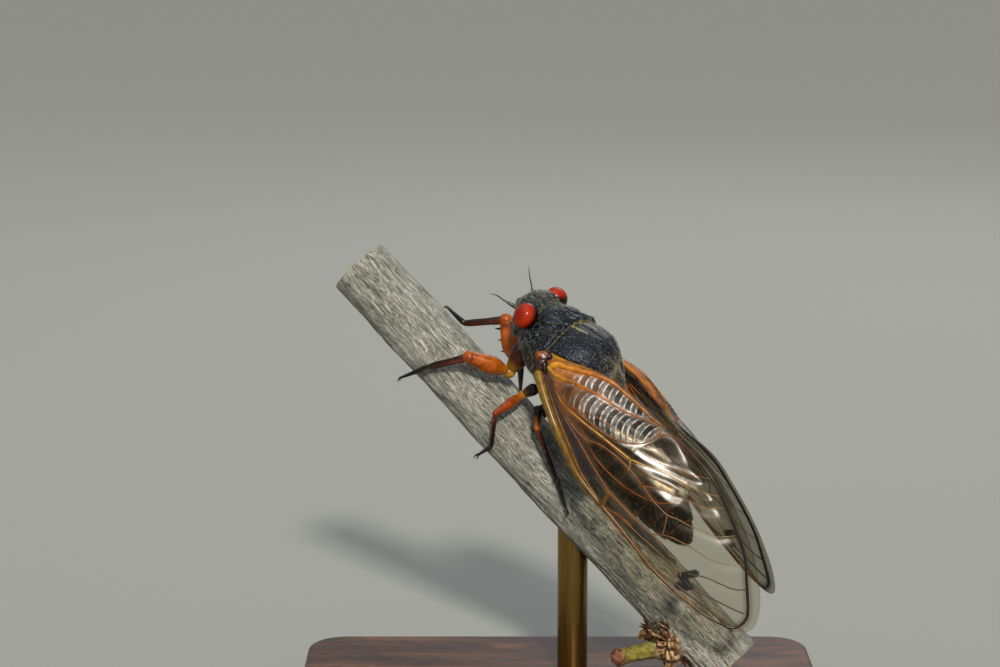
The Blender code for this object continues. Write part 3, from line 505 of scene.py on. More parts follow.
# Sections: how far behind the head's front, half width, top, bottom, and the level of the widest line.
SHIELD = ((3.1, 2.4, 2.1, -2.6, 0.4), (3.35, 2.7, 2.25, -2.9, 0.4), (3.9, 3.45, 2.75, -3.3, 0.4),
          (5.0, 4.0, 3.2, -3.6, 0.5), (6.2, 4.5, 3.4, -3.8, 0.7), (6.6, 4.4, 3.4, -3.8, 0.7))
BACK = ((6.4, 4.0, 3.2, -3.7, 0.7), (6.8, 4.2, 3.55, -3.8, 0.7), (7.6, 4.4, 4.2, -4.0, 0.7),
        (8.8, 4.4, 4.7, -4.1, 0.6), (10.2, 4.1, 4.4, -4.1, 0.4), (11.6, 3.6, 3.7, -4.0, 0.0),
        (12.8, 3.2, 2.8, -3.9, -0.4), (13.5, 3.1, 2.4, -3.8, -0.6))
ABDOMEN = ((13.3, 3.25, 2.2, -4.0, -0.9), (13.7, 3.4, 2.3, -4.2, -1.1), (15.5, 3.75, 2.5, -4.6, -1.5),
           (18.0, 3.85, 2.4, -4.7, -1.6), (21.0, 3.65, 2.0, -4.6, -1.6), (24.0, 3.05, 1.3, -4.2, -1.6),
           (26.5, 2.2, 0.4, -3.7, -1.7), (28.2, 1.25, -0.6, -3.0, -1.75), (29.2, 0.35, -1.4, -2.1, -1.75))
ABDOMEN_RINGS = 9
SECTION_SIDES = 120
SKIN_GRAIN = 0.11
HEAD_CENTRE = np.array((-1.9, 0.0, -0.3))
# The rounded forms that make up the head: the centre and the radii of each.
HEAD_SWELLINGS = (((-2.1, -0.1, 1.05), (1.35, 3.2, 1.15)), ((-1.75, 0.0, 0.35), (1.6, 2.6, 1.75)),
                  ((-1.8, 0.0, -1.3), (1.15, 1.4, 1.6)), ((-2.3, 0.0, -2.3), (0.95, 0.9, 1.55)),
                  ((-0.95, 0.95, 0.1), (0.95, 0.8, 0.6)), ((-0.95, -0.95, 0.1), (0.95, 0.8, 0.6)))
HEAD_NECK = -3.3
NECK_BOW = 0.6
NECK_HALF_WIDTH = 2.8
NECK_CREASE = 0.3
COLLAR_AT = 6.55
COLLAR_BOW = 0.8
COLLAR_BOW_WIDTH = 4.2
COLLAR_MARK = ((5.75, 0.55), (6.0, 0.75), (6.5, 0.85), (7.3, 0.75))
EYES = {"left": (-2.3, 2.72, 0.92), "right": (-1.95, -2.4, 1.08)}
# The left eye's short way, the way it faces and its long way, which leans in over the head, and its radii
# along them.
EYE_AXES = np.array(((0.939, 0.328, -0.103), (-0.195, 0.755, 0.626), (0.283, -0.568, 0.773)))
EYE_RADII = np.array((1.14, 1.15, 1.3))
EYES_FACE = {"left": (0.4, 0.9, 0.25), "right": (0.75, -0.2, 0.6)}
# Wings: the hinge, the ways along and across the wing's plan, its size beside the left one's, and its side.
WINGS = {"left": ((-6.97, 4.6, 0.66), (-0.997, -0.071, -0.015), (-0.032, 0.626, -0.779), 1.0, 1),
         "right": ((-6.95, 4.35, 0.4), (-0.998, -0.062, 0.012), (-0.034, 0.44, -0.897), 0.945, -1)}
WING_CAMBER = 1.3
CAMBER_START = 6.0
CAMBER_MIDDLE = 0.6
CAMBER_REACH = 5.6
# The right wing's hind margin, which folds down over the back, how far it folds, and how wide the folded
# strip is.
HIND_MARGIN = ((1.6, -2.1), (2.7, -2.65), (4.6, -3.75), (6.8, -4.7), (10.3, -5.5), (12.2, -5.5), (15.2, -6.6),
               (19.6, -6.9))
FOLD_DROP = 1.6
FOLD_WIDTH = 2.2
# Where along the wing the fold starts, is full, begins to fade and ends.
FOLD_COURSE = (0.5, 3.5, 9.0, 19.0)
# The shell is pressed in this far below a wing that lies on it.
SEAT_DEPTH = 0.3


def section(station):
    """A ring round the body at one station, wide at one level and rounded above and below it."""
    back, half_width, top, bottom, level = station
    angle = np.linspace(0, math.tau, SECTION_SIDES, endpoint=False)
    height = np.where(np.sin(angle) > 0, top - level, level - bottom) * np.sin(angle)
    return np.stack([np.full(SECTION_SIDES, -back), half_width * np.cos(angle), level + height], axis=1)


def head_reach(direction):
    """How far the head's surface lies from its centre in one direction."""
    reach = 0.0
    for middle, radii in HEAD_SWELLINGS:
        away = (HEAD_CENTRE - np.array(middle)) / np.array(radii)
        ray = direction / np.array(radii)
        a = ray @ ray
        b = away @ ray
        c = away @ away - 1
        if b * b - a * c > 0:
            reach = max(reach, (-b + math.sqrt(b * b - a * c)) / a)
    if direction[0] < 0:
        for _ in range(6):
            neck = HEAD_NECK + neck_bow(HEAD_CENTRE[1] + reach * direction[1])
            reach = min(reach, (neck - HEAD_CENTRE[0]) / direction[0])
    return reach


def neck_bow(y):
    """How far the joint between head and shield lies ahead of its outer ends."""
    return NECK_BOW * np.maximum(0.0, 1.0 - (y / NECK_HALF_WIDTH) ** 2)


def from_joints(rows):
    """How far places lie ahead of the head's hind crease, and how far behind the shield's."""
    x, y, z = rows.T
    bow = COLLAR_BOW * np.clip(1 - (y / COLLAR_BOW_WIDTH) ** 2, 0, 1) * np.clip(z / 1.5, 0, 1)
    return x - (HEAD_NECK + NECK_CREASE + neck_bow(y)), -x - COLLAR_AT + bow


def eye_places(rows, label):
    """Places of the body as one eye sees them: its surface is 1 away from its centre."""
    side = 1 if label == "left" else -1
    return (rows - np.array(EYES[label])) @ (EYE_AXES * (1, side, 1)).T / EYE_RADII


def distances(places, course):
    """How far each of many places in a plane lies from a course."""
    nearest = np.full(len(places), 1e9)
    course = np.asarray(course, float)
    for a, b in zip(course[:-1], course[1:]):
        span = b - a
        t = np.clip((places - a) @ span / (span @ span), 0, 1)
        nearest = np.minimum(nearest, np.linalg.norm(places - a - t[:, None] * span, axis=1))
    return nearest


def crest(distance, half_width):
    """1 on a line and 0 from half a width away."""
    return np.clip(1 - (distance / half_width) ** 2, 0, 1)


def eased(share):
    """A share from 0 to 1 that starts and stops gently."""
    share = np.clip(share, 0, 1)
    return share * share * (3 - 2 * share)


def hind_strip(u, v):
    """From 0 ahead of a forewing's hind strip to 1 at the margin."""
    return eased((np.interp(u, *zip(*HIND_MARGIN)) + FOLD_WIDTH - v) / FOLD_WIDTH)


def camber(rise, v):
    """How far a wing bulges from its plane, with its rise along the wing given."""
    return WING_CAMBER * rise * np.clip(1 - ((v + CAMBER_MIDDLE) / CAMBER_REACH) ** 2, 0, None)


def folded_down(u, v):
    """How far the right wing's hind strip hangs below the plane of the wing."""
    start, full, fading, end = FOLD_COURSE
    drop = FOLD_DROP * eased((u - start) / (full - start)) * eased((end - u) / (end - fading))
    return drop * hind_strip(u, v)


tilts = np.linspace(0, math.pi, 62)[1:-1]
turns = np.linspace(0, math.tau, 96, endpoint=False)
head_rings = []
for tilt in tilts:
    ring = []
    for turn in turns:
        ray = np.array([math.sin(tilt) * math.cos(turn), math.cos(tilt), math.sin(tilt) * math.sin(turn)])
        ring.append(HEAD_CENTRE + ray * head_reach(ray))
    head_rings.append(ring)


def collar_bow(rows):
    """How far the back's skin near the joint behind the shield lies ahead of its outer ends."""
    x, y, z = rows[..., 0], rows[..., 1], rows[..., 2]
    near = np.clip(1 - np.abs(-x - 6.5) / 1.6, 0, 1)
    return COLLAR_BOW * near * np.clip(1 - (y / COLLAR_BOW_WIDTH) ** 2, 0, 1) * np.clip(z / 1.5, 0, 1)


head = closed_form("head", head_rings)
shield_rings = np.array([section(station) for station in smooth_course(SHIELD, 8)])
fade = np.clip(1 - (-shield_rings[:, :, 0] - 3.35) / 1.8, 0, 1)
shield_rings[:, :, 0] += neck_bow(shield_rings[:, :, 1]) * fade + collar_bow(shield_rings)
shield = closed_form("shield", shield_rings)
back_rings = np.array([section(station) for station in smooth_course(BACK, 8)])
back_rings[:, :, 0] += collar_bow(back_rings)
back = closed_form("back", back_rings)
abdomen = closed_form("abdomen", [section(station) for station in smooth_course(ABDOMEN, 8)])
skin = join_all([head, shield, back, abdomen])
skin.name = "body_shell"
voxel_remesh(skin, SKIN_GRAIN)

rows = positions(skin.data)
normals = surface_normals(skin.data)
x, y, z = rows.T
plan = np.stack([-x, np.abs(y)], axis=1)
upper = np.clip(normals[:, 2] * 2.0 + 0.6, 0, 1)
flank = np.clip((z + 0.2) / 0.6, 0, 1)
relief = np.zeros(len(rows))
gilt = np.zeros(len(rows))
neck, behind = from_joints(rows)
# Shield: slanting furrows, a raised collar behind, a ridge down each side, and a thin gold fringe at front
# and back.
on_shield = (neck < -0.1) & (behind < 0)
faces_up = np.clip(normals[:, 2] * 2 + 1, 0, 1)
for course in (((3.9, 0.55), (4.6, 0.9), (5.3, 1.3)), ((3.7, 3.1), (4.4, 2.85), (5.0, 2.3), (5.4, 2.4))):
    relief -= 0.26 * crest(distances(plan, course), 0.42) * on_shield * faces_up
for course in (((4.2, 2.1), (5.5, 1.8)), ((4.3, 3.5), (5.6, 3.1)), ((4.2, 0.2), (5.6, 0.5))):
    relief += 0.17 * crest(distances(plan, course), 0.65) * on_shield * faces_up
relief -= 0.08 * crest(np.abs(y), 0.18) * upper * on_shield
relief += 0.12 * crest(behind + 0.38, 0.34) * flank
relief -= 0.22 * crest(behind - 0.08, 0.2) * flank
relief += 0.2 * crest(z - 0.35, 0.4) * on_shield * np.clip(np.abs(y) - 2.5, 0, 1)
relief -= 0.12 * crest(neck, 0.2)
gilt += 0.9 * crest(behind, 0.08) * flank + 0.6 * crest(neck + 0.12, 0.08)
# Back: the raised cross, long furrows beside the middle, and gold marks at the front and round the cross.
for course in (((11.6, 0.0), (10.5, 0.95)), ((11.6, 0.0), (12.8, 1.1))):
    near = distances(plan, course)
    relief += 0.3 * crest(near, 0.42) * upper
    gilt += 0.35 * crest(near, 0.6) * upper
relief -= 0.3 * crest(distances(plan, ((11.6, 1.3), (11.7, 1.6))), 0.6) * upper
mark_far = distances(plan, COLLAR_MARK)
gilt += 1.4 * crest(mark_far, 0.17) * upper
for course in (((6.6, 2.6), (7.6, 1.6), (9.0, 1.2), (10.0, 1.3)), ((6.4, 0.0), (8.5, 0.0))):
    relief -= 0.09 * crest(distances(plan, course), 0.26) * upper
gilt += 0.22 * crest(x + 12.4, 0.9) * upper
# Below the shield's edge and the wings' roots the skin is dull and thinly gilt.
gilt += 0.05 * np.clip(0.2 - z, 0, 1) * (x > -12)
# Abdomen: overlapping rings, with brown hind edges.
along = (-x - 13.7) / (29.2 - 13.7) * ABDOMEN_RINGS
step = np.where(along > 0, along % 1.0, 1.0)
relief -= 0.16 * (1 - step) ** 2 * (along > 0)
edge = np.clip((step - 0.88) / 0.1, 0, 1) * (along > 0) * (along < ABDOMEN_RINGS)
# Head: the ribs of the swollen face, and pinched furrows between the eyes.
ribs = np.clip((-0.2 - z) / 0.6, 0, 1) * np.clip((1.6 - np.abs(y)) / 0.5, 0, 1) * (x > -1.3)
relief += 0.08 * ribs * np.cos(math.tau * 9 * (z + 0.25 * np.abs(y)) / 3.8)
on_head = neck > 0
relief -= 0.1 * crest(np.abs(np.abs(y) - 0.95), 0.2) * upper * on_head
gilt += 0.1 * on_head * np.clip(normals[:, 2] + 0.5, 0, 1)
relief += 0.012 * waves(x * 4 + z * 2, y * 4 - z * 2, 31, 12, 2, 5)
rows += normals * relief[:, None]
for hinge, along, across, size, side in WINGS.values():
    mirrored = (rows - np.array(hinge) * (1, side, 1)) * (1, side, 1)
    u = mirrored @ along / size
    v = mirrored @ across / size
    outwards = np.cross(across, along)
    outwards *= np.sign(outwards[1]) / np.linalg.norm(outwards)
    bulge = camber(np.clip(u / CAMBER_START, 0, 1), v)
    proud = mirrored @ outwards - bulge + SEAT_DEPTH
    if side < 0:
        proud += folded_down(u, v) * outwards[2]
    margin = np.interp(u, (0, 1.6, 4.6, 6.8), (-1.3, -2.1, -3.7, -4.7))
    inside = np.clip(u / 0.3, 0, 1) * np.clip((v - margin) / 0.25, 0, 1)
    pressed = np.where((proud > 0) & (mirrored[:, 1] > -hinge[1]), proud, 0) * inside
    rows -= np.outer(pressed, outwards * (1, side, 1))
set_positions(skin.data, rows)
gilt = np.clip(gilt, 0, 1)
give_mask(skin.data, "gilt", gilt)
give_mask(skin.data, "ring_edge", edge)
skin_normals = surface_normals(skin.data)
skin_rows = rows.copy()
bake_place(skin, BODY_PLACE)

cuticle, tree, shader = finish("black cuticle",
                               {"IOR": 1.5, "Specular IOR Level": 0.36, "Specular Tint": linear("#c9d8f2")})
# Hard chitin, black with a blue gloss, finely pitted to break up its lights; gold down dulls it in places.
place = add_node(tree, "TexCoord").outputs["Object"]
own = add_node(tree, "Mapping", {"vector_type": "TEXTURE", "Location": BODY_AT * MM, "Rotation": BODY_TURN,
               "Scale": (MM, MM, MM)}, {"Vector": place})
pits = add_node(tree, "TexVoronoi", {"Scale": 5.5}, {"Vector": own})
grain = add_node(tree, "TexNoise", {"Scale": 4.0, "Detail": 7, "Roughness": 0.75}, {"Vector": own})
blacks = add_node(tree, "ValToRGB", {"stops": ((0.42, "#020203"), (0.6, "#06070a"), (0.75, "#171b22"))},
                  {"Fac": grain})
down = add_node(tree, "Attribute", {"attribute_name": "gilt"})
patchy = add_node(tree, "Math", {"operation": "MULTIPLY_ADD", 1: 3.2, 2: -1.75}, {0: grain})
spread = add_node(tree, "Math", {"operation": "MULTIPLY_ADD", 1: 1.3, "use_clamp": True},
                  {0: down, 2: patchy})
amount = add_node(tree, "Math", {"operation": "MULTIPLY", "use_clamp": True}, {0: spread, 1: down})
gilded = add_node(tree, "Mix", {"data_type": "RGBA", 7: linear("#8f8458")}, {0: amount, 6: blacks})
edge = add_node(tree, "Attribute", {"attribute_name": "ring_edge"})
ringed = add_node(tree, "Mix", {"data_type": "RGBA", 7: linear("#6e3a16")}, {0: edge, 6: gilded})
dull = add_node(tree, "MapRange", {"From Min": 0.35, "From Max": 0.7, "To Min": 0.28, "To Max": 0.5},
                {"Value": grain})
pitted = add_node(tree, "Math", {"operation": "ADD"}, {0: pits, 1: grain})
bump = add_node(tree, "Bump", {"Strength": 0.55, "Distance": 0.00006}, {"Height": pitted})
link_up(shader, {"Base Color": ringed, "Roughness": dull, "Normal": bump})
fit(skin, cuticle, "black_chitin", "head", "pronotum", "mesothorax", "abdomen")

# Eyes. Two bulging compound eyes and three small simple ones between them, all red, glossy and darker at the
# rim. Each is a rounded form sunk into the head's skin, at the same place as its solid.
red, tree, shader = finish("red compound eye",
                           {"IOR": 1.45, "Roughness": 0.45, "Specular IOR Level": 0.1, "Coat Weight": 0.25,
                            "Coat Roughness": 0.12})
# The lens facets are 0.03 mm across; they are drawn twice as wide, so that they soften the gloss.
rim = add_node(tree, "Attribute", {"attribute_name": "rim"})
reds = add_node(tree, "ValToRGB",
                {"stops": ((0.0, "#741602"), (0.25, "#942602"), (0.55, "#8c1e02"), (0.74, "#560e02"),
                           (0.9, "#120302"))}, {"Fac": rim})
place = add_node(tree, "TexCoord").outputs["Object"]
facets = add_node(tree, "TexVoronoi", {"Scale": 16000}, {"Vector": place})
bump = add_node(tree, "Bump", {"Strength": 0.12, "Distance": 0.00002}, {"Height": facets})
link_up(shader, {"Base Color": reds, "Normal": bump})


def ball(name, centre, radii, segments, rings):
    """A rounded form in the body's frame, in millimetres."""
    bpy.ops.object.select_all(action="DESELECT")
    bpy.ops.mesh.primitive_uv_sphere_add(segments=segments, ring_count=rings, location=centre, scale=radii)
    thing = bpy.context.object
    thing.name = name
    bake_place(thing)
    thing.data.shade_smooth()
    return thing


for label, centre in EYES.items():
    eye = ball(f"compound_eye_{label}", (0, 0, 0), EYE_RADII + 0.02, 64, 40)
    side = 1 if label == "left" else -1
    axes = EYE_AXES * (1, side, 1) * np.array((side, 1, 1))[:, None]
    rows = positions(eye.data)
    outwards = np.array(Vector(EYES_FACE[label]).normalized())
    give_mask(eye.data, "rim", np.clip(1.0 - rows / EYE_RADII @ axes @ outwards, 0, 1.15) / 1.15)
    set_positions(eye.data, rows @ axes + centre)
    bake_place(eye, BODY_PLACE)
    fit(eye, red, "red_eye", f"eye_{label}")

ocelli = []
for direction in ((0.62, 0.0, 0.78), (0.2, 0.24, 0.95), (0.2, -0.24, 0.95)):
    ray = unit(np.array(direction))
    ocelli.append(ball("ocellus", HEAD_CENTRE + ray * (head_reach(ray) - 0.06), (0.17, 0.17, 0.17), 20, 12))
ocelli = join_all(ocelli)
ocelli.name = "simple_eyes"
give_mask(ocelli.data, "rim", np.full(len(ocelli.data.vertices), 0.85))
bake_place(ocelli, BODY_PLACE)
fit(ocelli, red, "red_eye")

# Down. Fine straw-gold hairs stand all over the shell, thick on the head, along the joints and below the
# wings, thin on the glossy lobes of the back. Each is a bent, tapered spike of its own that is rooted in the
# shell and lies back.
DOWN_TINTS = ("#cdb06a", "#e0dcc8", "#9a9c9e", "#3a2f20")
DOWN_SHARES = (0.17, 0.33, 0.36, 0.14)
DOWN_LIE = (-1.0, 0.0, -0.25)
SPIKE_RADIUS = 0.0095
SPIKE_SIDES = 3
# How far along a hair each ring stands, and its width beside the root's.
SPIKE_RINGS = ((0.0, 1.0), (0.4, 0.8), (0.75, 0.5))
# The side of one hair's patch, as a share of the unwrapped sheet's side.
PATCH = 0.003


def give_tint(mesh, colours):
    """A colour on each vertex that the material reads by name."""
    tint = mesh.attributes.new("tint", "FLOAT_COLOR", "POINT")
    tint.data.foreach_set("color", np.ascontiguousarray(colours, dtype=np.float32).ravel())


def spikes(name, roots, normals, lie, lengths, lift, tints):
    """Bent hairs in the body's frame, each unwrapped to a tiny patch at its root's place on the body."""
    across = np.cross(normals, lie)
    points = []
    for share, width in SPIKE_RINGS:
        rise = (lengths * lift * share * (2 - share) - 0.04)[:, None]
        middle = roots + lie * (lengths * share)[:, None] + normals * rise
        for side in range(SPIKE_SIDES):
            turn = math.tau * side / SPIKE_SIDES
            around = math.cos(turn) * across + math.sin(turn) * normals
            points.append(middle + SPIKE_RADIUS * width * around)
    points.append(roots + lie * lengths[:, None] + normals * (lengths * lift)[:, None])
    points = np.stack(points, axis=1)
    tip = len(SPIKE_RINGS) * SPIKE_SIDES
    pattern = [[(0, 0), (0, 1), (0, 2)][::-1]]
    for ring in range(len(SPIKE_RINGS)):
        for side in range(SPIKE_SIDES):
            if ring + 1 < len(SPIKE_RINGS):
                pattern.append([(ring, side), (ring, side + 1), (ring + 1, side + 1), (ring + 1, side)])
            else:
                pattern.append([(ring, side), (ring, side + 1), (ring + 1, side)])
    corners = [corner for face in pattern for corner in face]
    order = np.array([
        tip if ring == len(SPIKE_RINGS) else ring * SPIKE_SIDES + side % SPIKE_SIDES for ring, side in corners
    ])
    starts = np.cumsum([0] + [len(face) for face in pattern])
    faces = []
    for first in range(0, len(roots) * points.shape[1], points.shape[1]):
        faces.extend([(first + order[a:b]).tolist() for a, b in zip(starts[:-1], starts[1:])])
    thing = new_thing(name, points.reshape(-1, 3), faces, closed=False)
    around = np.arctan2(roots[:, 1], roots[:, 2] + 1) / math.tau + 0.5
    place = np.stack([around, (6 - roots[:, 0]) / 38], axis=1) * 0.98 + 0.01
    spread = (np.array(corners) / (SPIKE_SIDES, len(SPIKE_RINGS)) - 0.5)[:, ::-1] * PATCH
    unwrap = thing.data.uv_layers.new(name="OFBake")
    unwrap.data.foreach_set("uv", (place[:, None] + spread[None]).astype(np.float32).ravel())
    give_tint(thing.data, np.repeat(tints, points.shape[1], axis=0))
    thing.data.shade_smooth()
    return thing


def wear_tint(tree, shader, pattern, worn, strength, gloss):
    """Colours a finish by its tint, darker and duller where a pattern wears it."""
    tint = add_node(tree, "Attribute", {"attribute_name": "tint"}).outputs["Color"]
    shade = add_node(tree, "ValToRGB", {"stops": ((0.35, worn), (0.6, "#ffffff"))}, {"Fac": pattern})
    mixed = add_node(tree, "Mix", {"data_type": "RGBA", "blend_type": "MULTIPLY", 0: strength},
                     {6: tint, 7: shade})
    dull = add_node(tree, "MapRange", {"To Min": gloss[0], "To Max": gloss[1]}, {"Value": pattern})
    link_up(shader, {"Base Color": mixed, "Roughness": dull})


hair, tree, shader = finish("straw hair", {"IOR": 1.55, "Specular IOR Level": 0.3})
# Each hair keeps one tint, from gold to straw and dark brown, a little duller in places along its length.
place = add_node(tree, "TexCoord").outputs["Object"]
wear = add_node(tree, "TexNoise", {"Scale": 4000, "Detail": 2}, {"Vector": place})
wear_tint(tree, shader, wear, "#a09a90", 0.7, (0.4, 0.6))


def laid_down(lie, normals):
    """The ways that hairs lie, pressed flat to the skin."""
    return unit(lie - normals * np.sum(lie * normals, axis=1)[:, None])


def hair_tints(rng, count, shares):
    """A tint for each hair, drawn by each tint's share."""
    palette = np.array([linear(code) for code in DOWN_TINTS])
    return palette[rng.choice(len(palette), count, p=shares)] * np.append(rng.uniform(0.75, 1.1, 3), 1)


x, y, z = skin_rows.T
from_lobe = np.linalg.norm((np.stack([x + 8.6, np.abs(y) - 2.9, z - 1.8], axis=1)) / (2.2, 1.7, 2.0), axis=1)
below = np.clip((0.3 - z) / 0.5, 0, 1)
open_skin = np.ones(len(skin_rows))
for label in EYES:
    open_skin *= np.linalg.norm(eye_places(skin_rows, label), axis=1) > 1.06
neck, behind = from_joints(skin_rows)
fringes = 4.0 * crest(neck, 0.25) + 9.0 * crest(behind, 0.1)
marks = 8.0 * crest(distances(np.stack([-x, np.abs(y)], axis=1), COLLAR_MARK), 0.2) * (z > 1)
front = 1.3 * (neck > 0) * (1 - 0.6 * below) + 0.3 * (1 - 0.8 * below) + fringes + marks
off_lobes = 0.3 + 0.35 * np.clip(from_lobe - 0.8, 0, 1)
middle = off_lobes + 1.2 * np.clip(-x - 10.4, 0, 1) + 1.5 * crest(behind, 0.5) + marks
# Each coat of down: its name, hair count and seed, how thick it stands at each place, and its hairs' length.
DOWN = (
    ("head_and_shield_down", 7500, 41, (behind < 0.2) * front, 0.27),
    ("back_down", 6500, 42, (behind >= 0.2) * (x > -13.6) * (1 - below) * middle, 0.26),
    ("breast_and_belly_down", 3000, 43, (behind >= 0.2) * (0.6 * below + 0.3 * (x < -13.6)), 0.42),
)
for name, count, seed, density, longest in DOWN:
    rng = np.random.default_rng(seed)
    weight = density * open_skin
    picks = rng.choice(len(skin_rows), count, replace=False, p=weight / weight.sum())
    normals = skin_normals[picks]
    roots = skin_rows[picks] + rng.normal(0, 0.03, (count, 3))
    stray = rng.normal(0, np.where(roots[:, 0] > HEAD_NECK, 0.8, 0.35)[:, None], (count, 3))
    lie = laid_down(np.array(DOWN_LIE) + stray, normals)
    lift = rng.uniform(0.1, 0.55, count) + 0.25 * (roots[:, 0] > HEAD_NECK)
    coat = spikes(name, roots, normals, lie, longest * rng.uniform(0.55, 1.25, count), lift,
                  hair_tints(rng, count, DOWN_SHARES))
    bake_place(coat, BODY_PLACE)
    fit(coat, hair, "black_chitin")

# Feelers and beak. Each feeler is a short stout joint and a bristle of thin segments; the beak is a black
# jointed sheath that lies under the breast. They are drawn out along the same courses as the solids.
# The course of each feeler, from the head to its tip, and then that of the beak.
FEELERS = {
    "left": ((-0.9, 1.3, -0.42), (-0.3, 1.62, -0.5), (0.6, 2.1, -0.66), (1.3, 2.6, -0.6), (1.8, 3.15, -0.75)),
    "right": ((-1.0, -1.6, -0.5), (-0.25, -1.75, -0.4), (0.8, -1.95, 0.1), (1.5, -1.9, 0.6),
              (2.2, -1.85, 1.25)),
}
FEELER_SEGMENTS = 12
BEAK = ((-2.9, 0.0, -4.35), (-4.1, 0.1, -4.75), (-5.3, 0.3, -5.8), (-6.6, 0.2, -7.3))

horn, tree, shader = finish("black horn", {"IOR": 1.56, "Roughness": 0.3})
# Thin dark chitin, brown where the light goes through it.
place = add_node(tree, "TexCoord").outputs["Object"]
mottle = add_node(tree, "TexNoise", {"Scale": 3000, "Detail": 4}, {"Vector": place})
browns = add_node(tree, "ValToRGB", {"stops": ((0.4, "#0b0908"), (0.7, "#2b1b12"))}, {"Fac": mottle})
bump = add_node(tree, "Bump", {"Strength": 0.3, "Distance": 0.00003}, {"Height": mottle})
link_up(shader, {"Base Color": browns, "Normal": bump})

for label, course in FEELERS.items():
    course = smooth_course(course, 16)
    share = np.linspace(0, 1, len(course))
    radii = np.interp(share, (0, 0.28, 0.36, 0.42, 0.7, 1), (0.24, 0.2, 0.15, 0.08, 0.055, 0.02))
    radii = radii * (1 + 0.18 * np.cos(share * math.tau * FEELER_SEGMENTS) * (share > 0.42))
    feeler = closed_form(f"feeler_{label}", bar_rings(course, radii, 16))
    bake_place(feeler, BODY_PLACE)
    feeler.data.shade_smooth()
    fit(feeler, horn, "black_chitin", f"antenna_{label}")
course = smooth_course(BEAK, 12)
share = np.linspace(0, 1, len(course))
radii = np.interp(share, (0, 0.3, 0.34, 0.38, 0.7, 1), (0.36, 0.44, 0.36, 0.4, 0.3, 0.16))
beak = closed_form("sucking_beak", bar_rings(course, radii, 24))
bake_place(beak, BODY_PLACE)
beak.data.shade_smooth()
fit(beak, horn, "black_chitin", "beak")

# Legs. Satin orange chitin that darkens to black at the feet, each length a tapered bar with swollen joints.
# The fore thighs are stout and spined, the hind shins spurred, and every foot ends in two hooked claws.
# Each leg: its joints, from the body to the foot's end.
LEGS = {
    "foreleg_left": ((-4.2, 1.3, -2.8), (-4.9, 2.0, -5.6), (-1.75, 5.1, -6.0), (0.3, 5.8, -10.3),
                     (1.5, 6.1, -13.8)),
    "foreleg_right": ((-4.2, -1.2, -2.9), (-4.35, -0.9, -6.7), (0.1, -2.1, -5.35), (2.6, -0.8, -8.9),
                      (4.8, -0.7, -9.35)),
    "midleg_left": ((-7.9, 1.8, -4.3), (-7.5, 1.9, -5.9), (-7.7, 5.4, -7.3), (-9.6, 4.6, -11.0),
                    (-9.2, 4.2, -13.3)),
    "midleg_right": ((-7.9, -1.8, -4.3), (-7.5, -1.9, -5.9), (-7.8, -5.0, -7.2), (-9.6, -3.2, -10.4),
                     (-9.2, -2.7, -12.6)),
    "hindleg_left": ((-10.4, 1.7, -4.4), (-9.6, 1.8, -5.7), (-11.3, 3.7, -5.5), (-16.1, 2.8, -8.2),
                     (-19.1, 3.0, -9.3)),
    "hindleg_right": ((-10.4, -1.7, -4.4), (-9.6, -1.8, -5.7), (-11.3, -3.9, -5.5), (-16.2, -3.5, -8.1),
                      (-19.0, -4.4, -8.7)),
}
# How thick hip, thigh, shin and foot are, each at its root, its middle and its end.
FORE_THICKNESS = ((2.1, 2.0, 1.2), (1.15, 2.15, 1.6), (0.85, 0.72, 0.7), (0.58, 0.48, 0.32))
WALKING_THICKNESS = ((1.2, 1.15, 0.85), (0.8, 1.1, 0.8), (0.62, 0.52, 0.55), (0.45, 0.4, 0.28))
# The colours along each of these lengths, from its root to its end.
FORE_COLOURS = (("#140805", "#3e1608", "#b0801e"), ("#ac6a18", "#a8540e", "#a04c0c"),
                ("#8a3c12", "#54210d", "#22120c"), ("#3a2a1a", "#140f0c", "#0c0908"))
WALKING_COLOURS = (("#0c0908", "#2a1509", "#b08a2a"), ("#a8661c", "#96420d", "#7a300b"),
                   ("#6a2a10", "#2e150c", "#120c0a"), ("#1a120c", "#100c0a", "#0c0908"))
# The hind hips and thighs are painted dark as painted shade where they lie under the body; only the knee end
# of the thigh is orange.
HIND_COLOURS_WITH_PAINTED_SHADE = (("#0c0908", "#1a0e08", "#2a1509"), ("#140a07", "#2c140a", "#b5601c"), *WALKING_COLOURS[2:])
# Painted shade: shins and feet are painted darker on the side that faces this way, up towards the body; the
# way, and how dark the painted shade is.
SHADED_SIDE_WAY = np.array((0.79, -0.26, 0.56))
PAINTED_SHIN_SHADE = 0.8
BRISTLES = 160
THIGH_SPINES = (0.3, 0.55, 0.8)
# How far down the shin each spur stands, and how far it is turned round it in degrees.
SPURS = ((0.45, 60), (0.62, -60), (0.8, 60), (0.97, -60), (0.97, 180))


def blended(codes, share):
    """Colours between hex colours spread evenly from 0 to 1."""
    stops = np.array([linear(code) for code in codes])
    at = np.linspace(0, 1, len(codes))
    return np.stack([np.interp(share, at, stops[:, channel]) for channel in range(4)], axis=1)


def tinted_form(name, rings, codes, shade=0.0):
    """A closed form whose colour runs from its first ring to its last, with painted shade on one side."""
    thing = closed_form(name, rings)
    rows, count = len(rings), len(rings[0])
    share = np.append(np.repeat(np.linspace(0, 1, rows), count), (0, 1))
    colours = blended(codes, share)
    faces_shaded_side = np.clip(surface_normals(thing.data) @ SHADED_SIDE_WAY * 1.6 + 0.4, 0, 1)
    colours[:, :3] *= (1 - shade * faces_shaded_side)[:, None]
    give_tint(thing.data, colours)
    return thing


def thorn(root, tip, thick, sharp, codes):
    """A straight pointed spine of a thigh or a shin."""
    rings = bar_rings(np.linspace(root, tip, 8), np.linspace(thick, sharp, 8), 12)
    return tinted_form("thorn", rings, codes)


satin, tree, shader = finish("orange cuticle",
                             {"IOR": 1.5, "Specular IOR Level": 0.25, "Coat Weight": 0.12,
                              "Coat Roughness": 0.2})
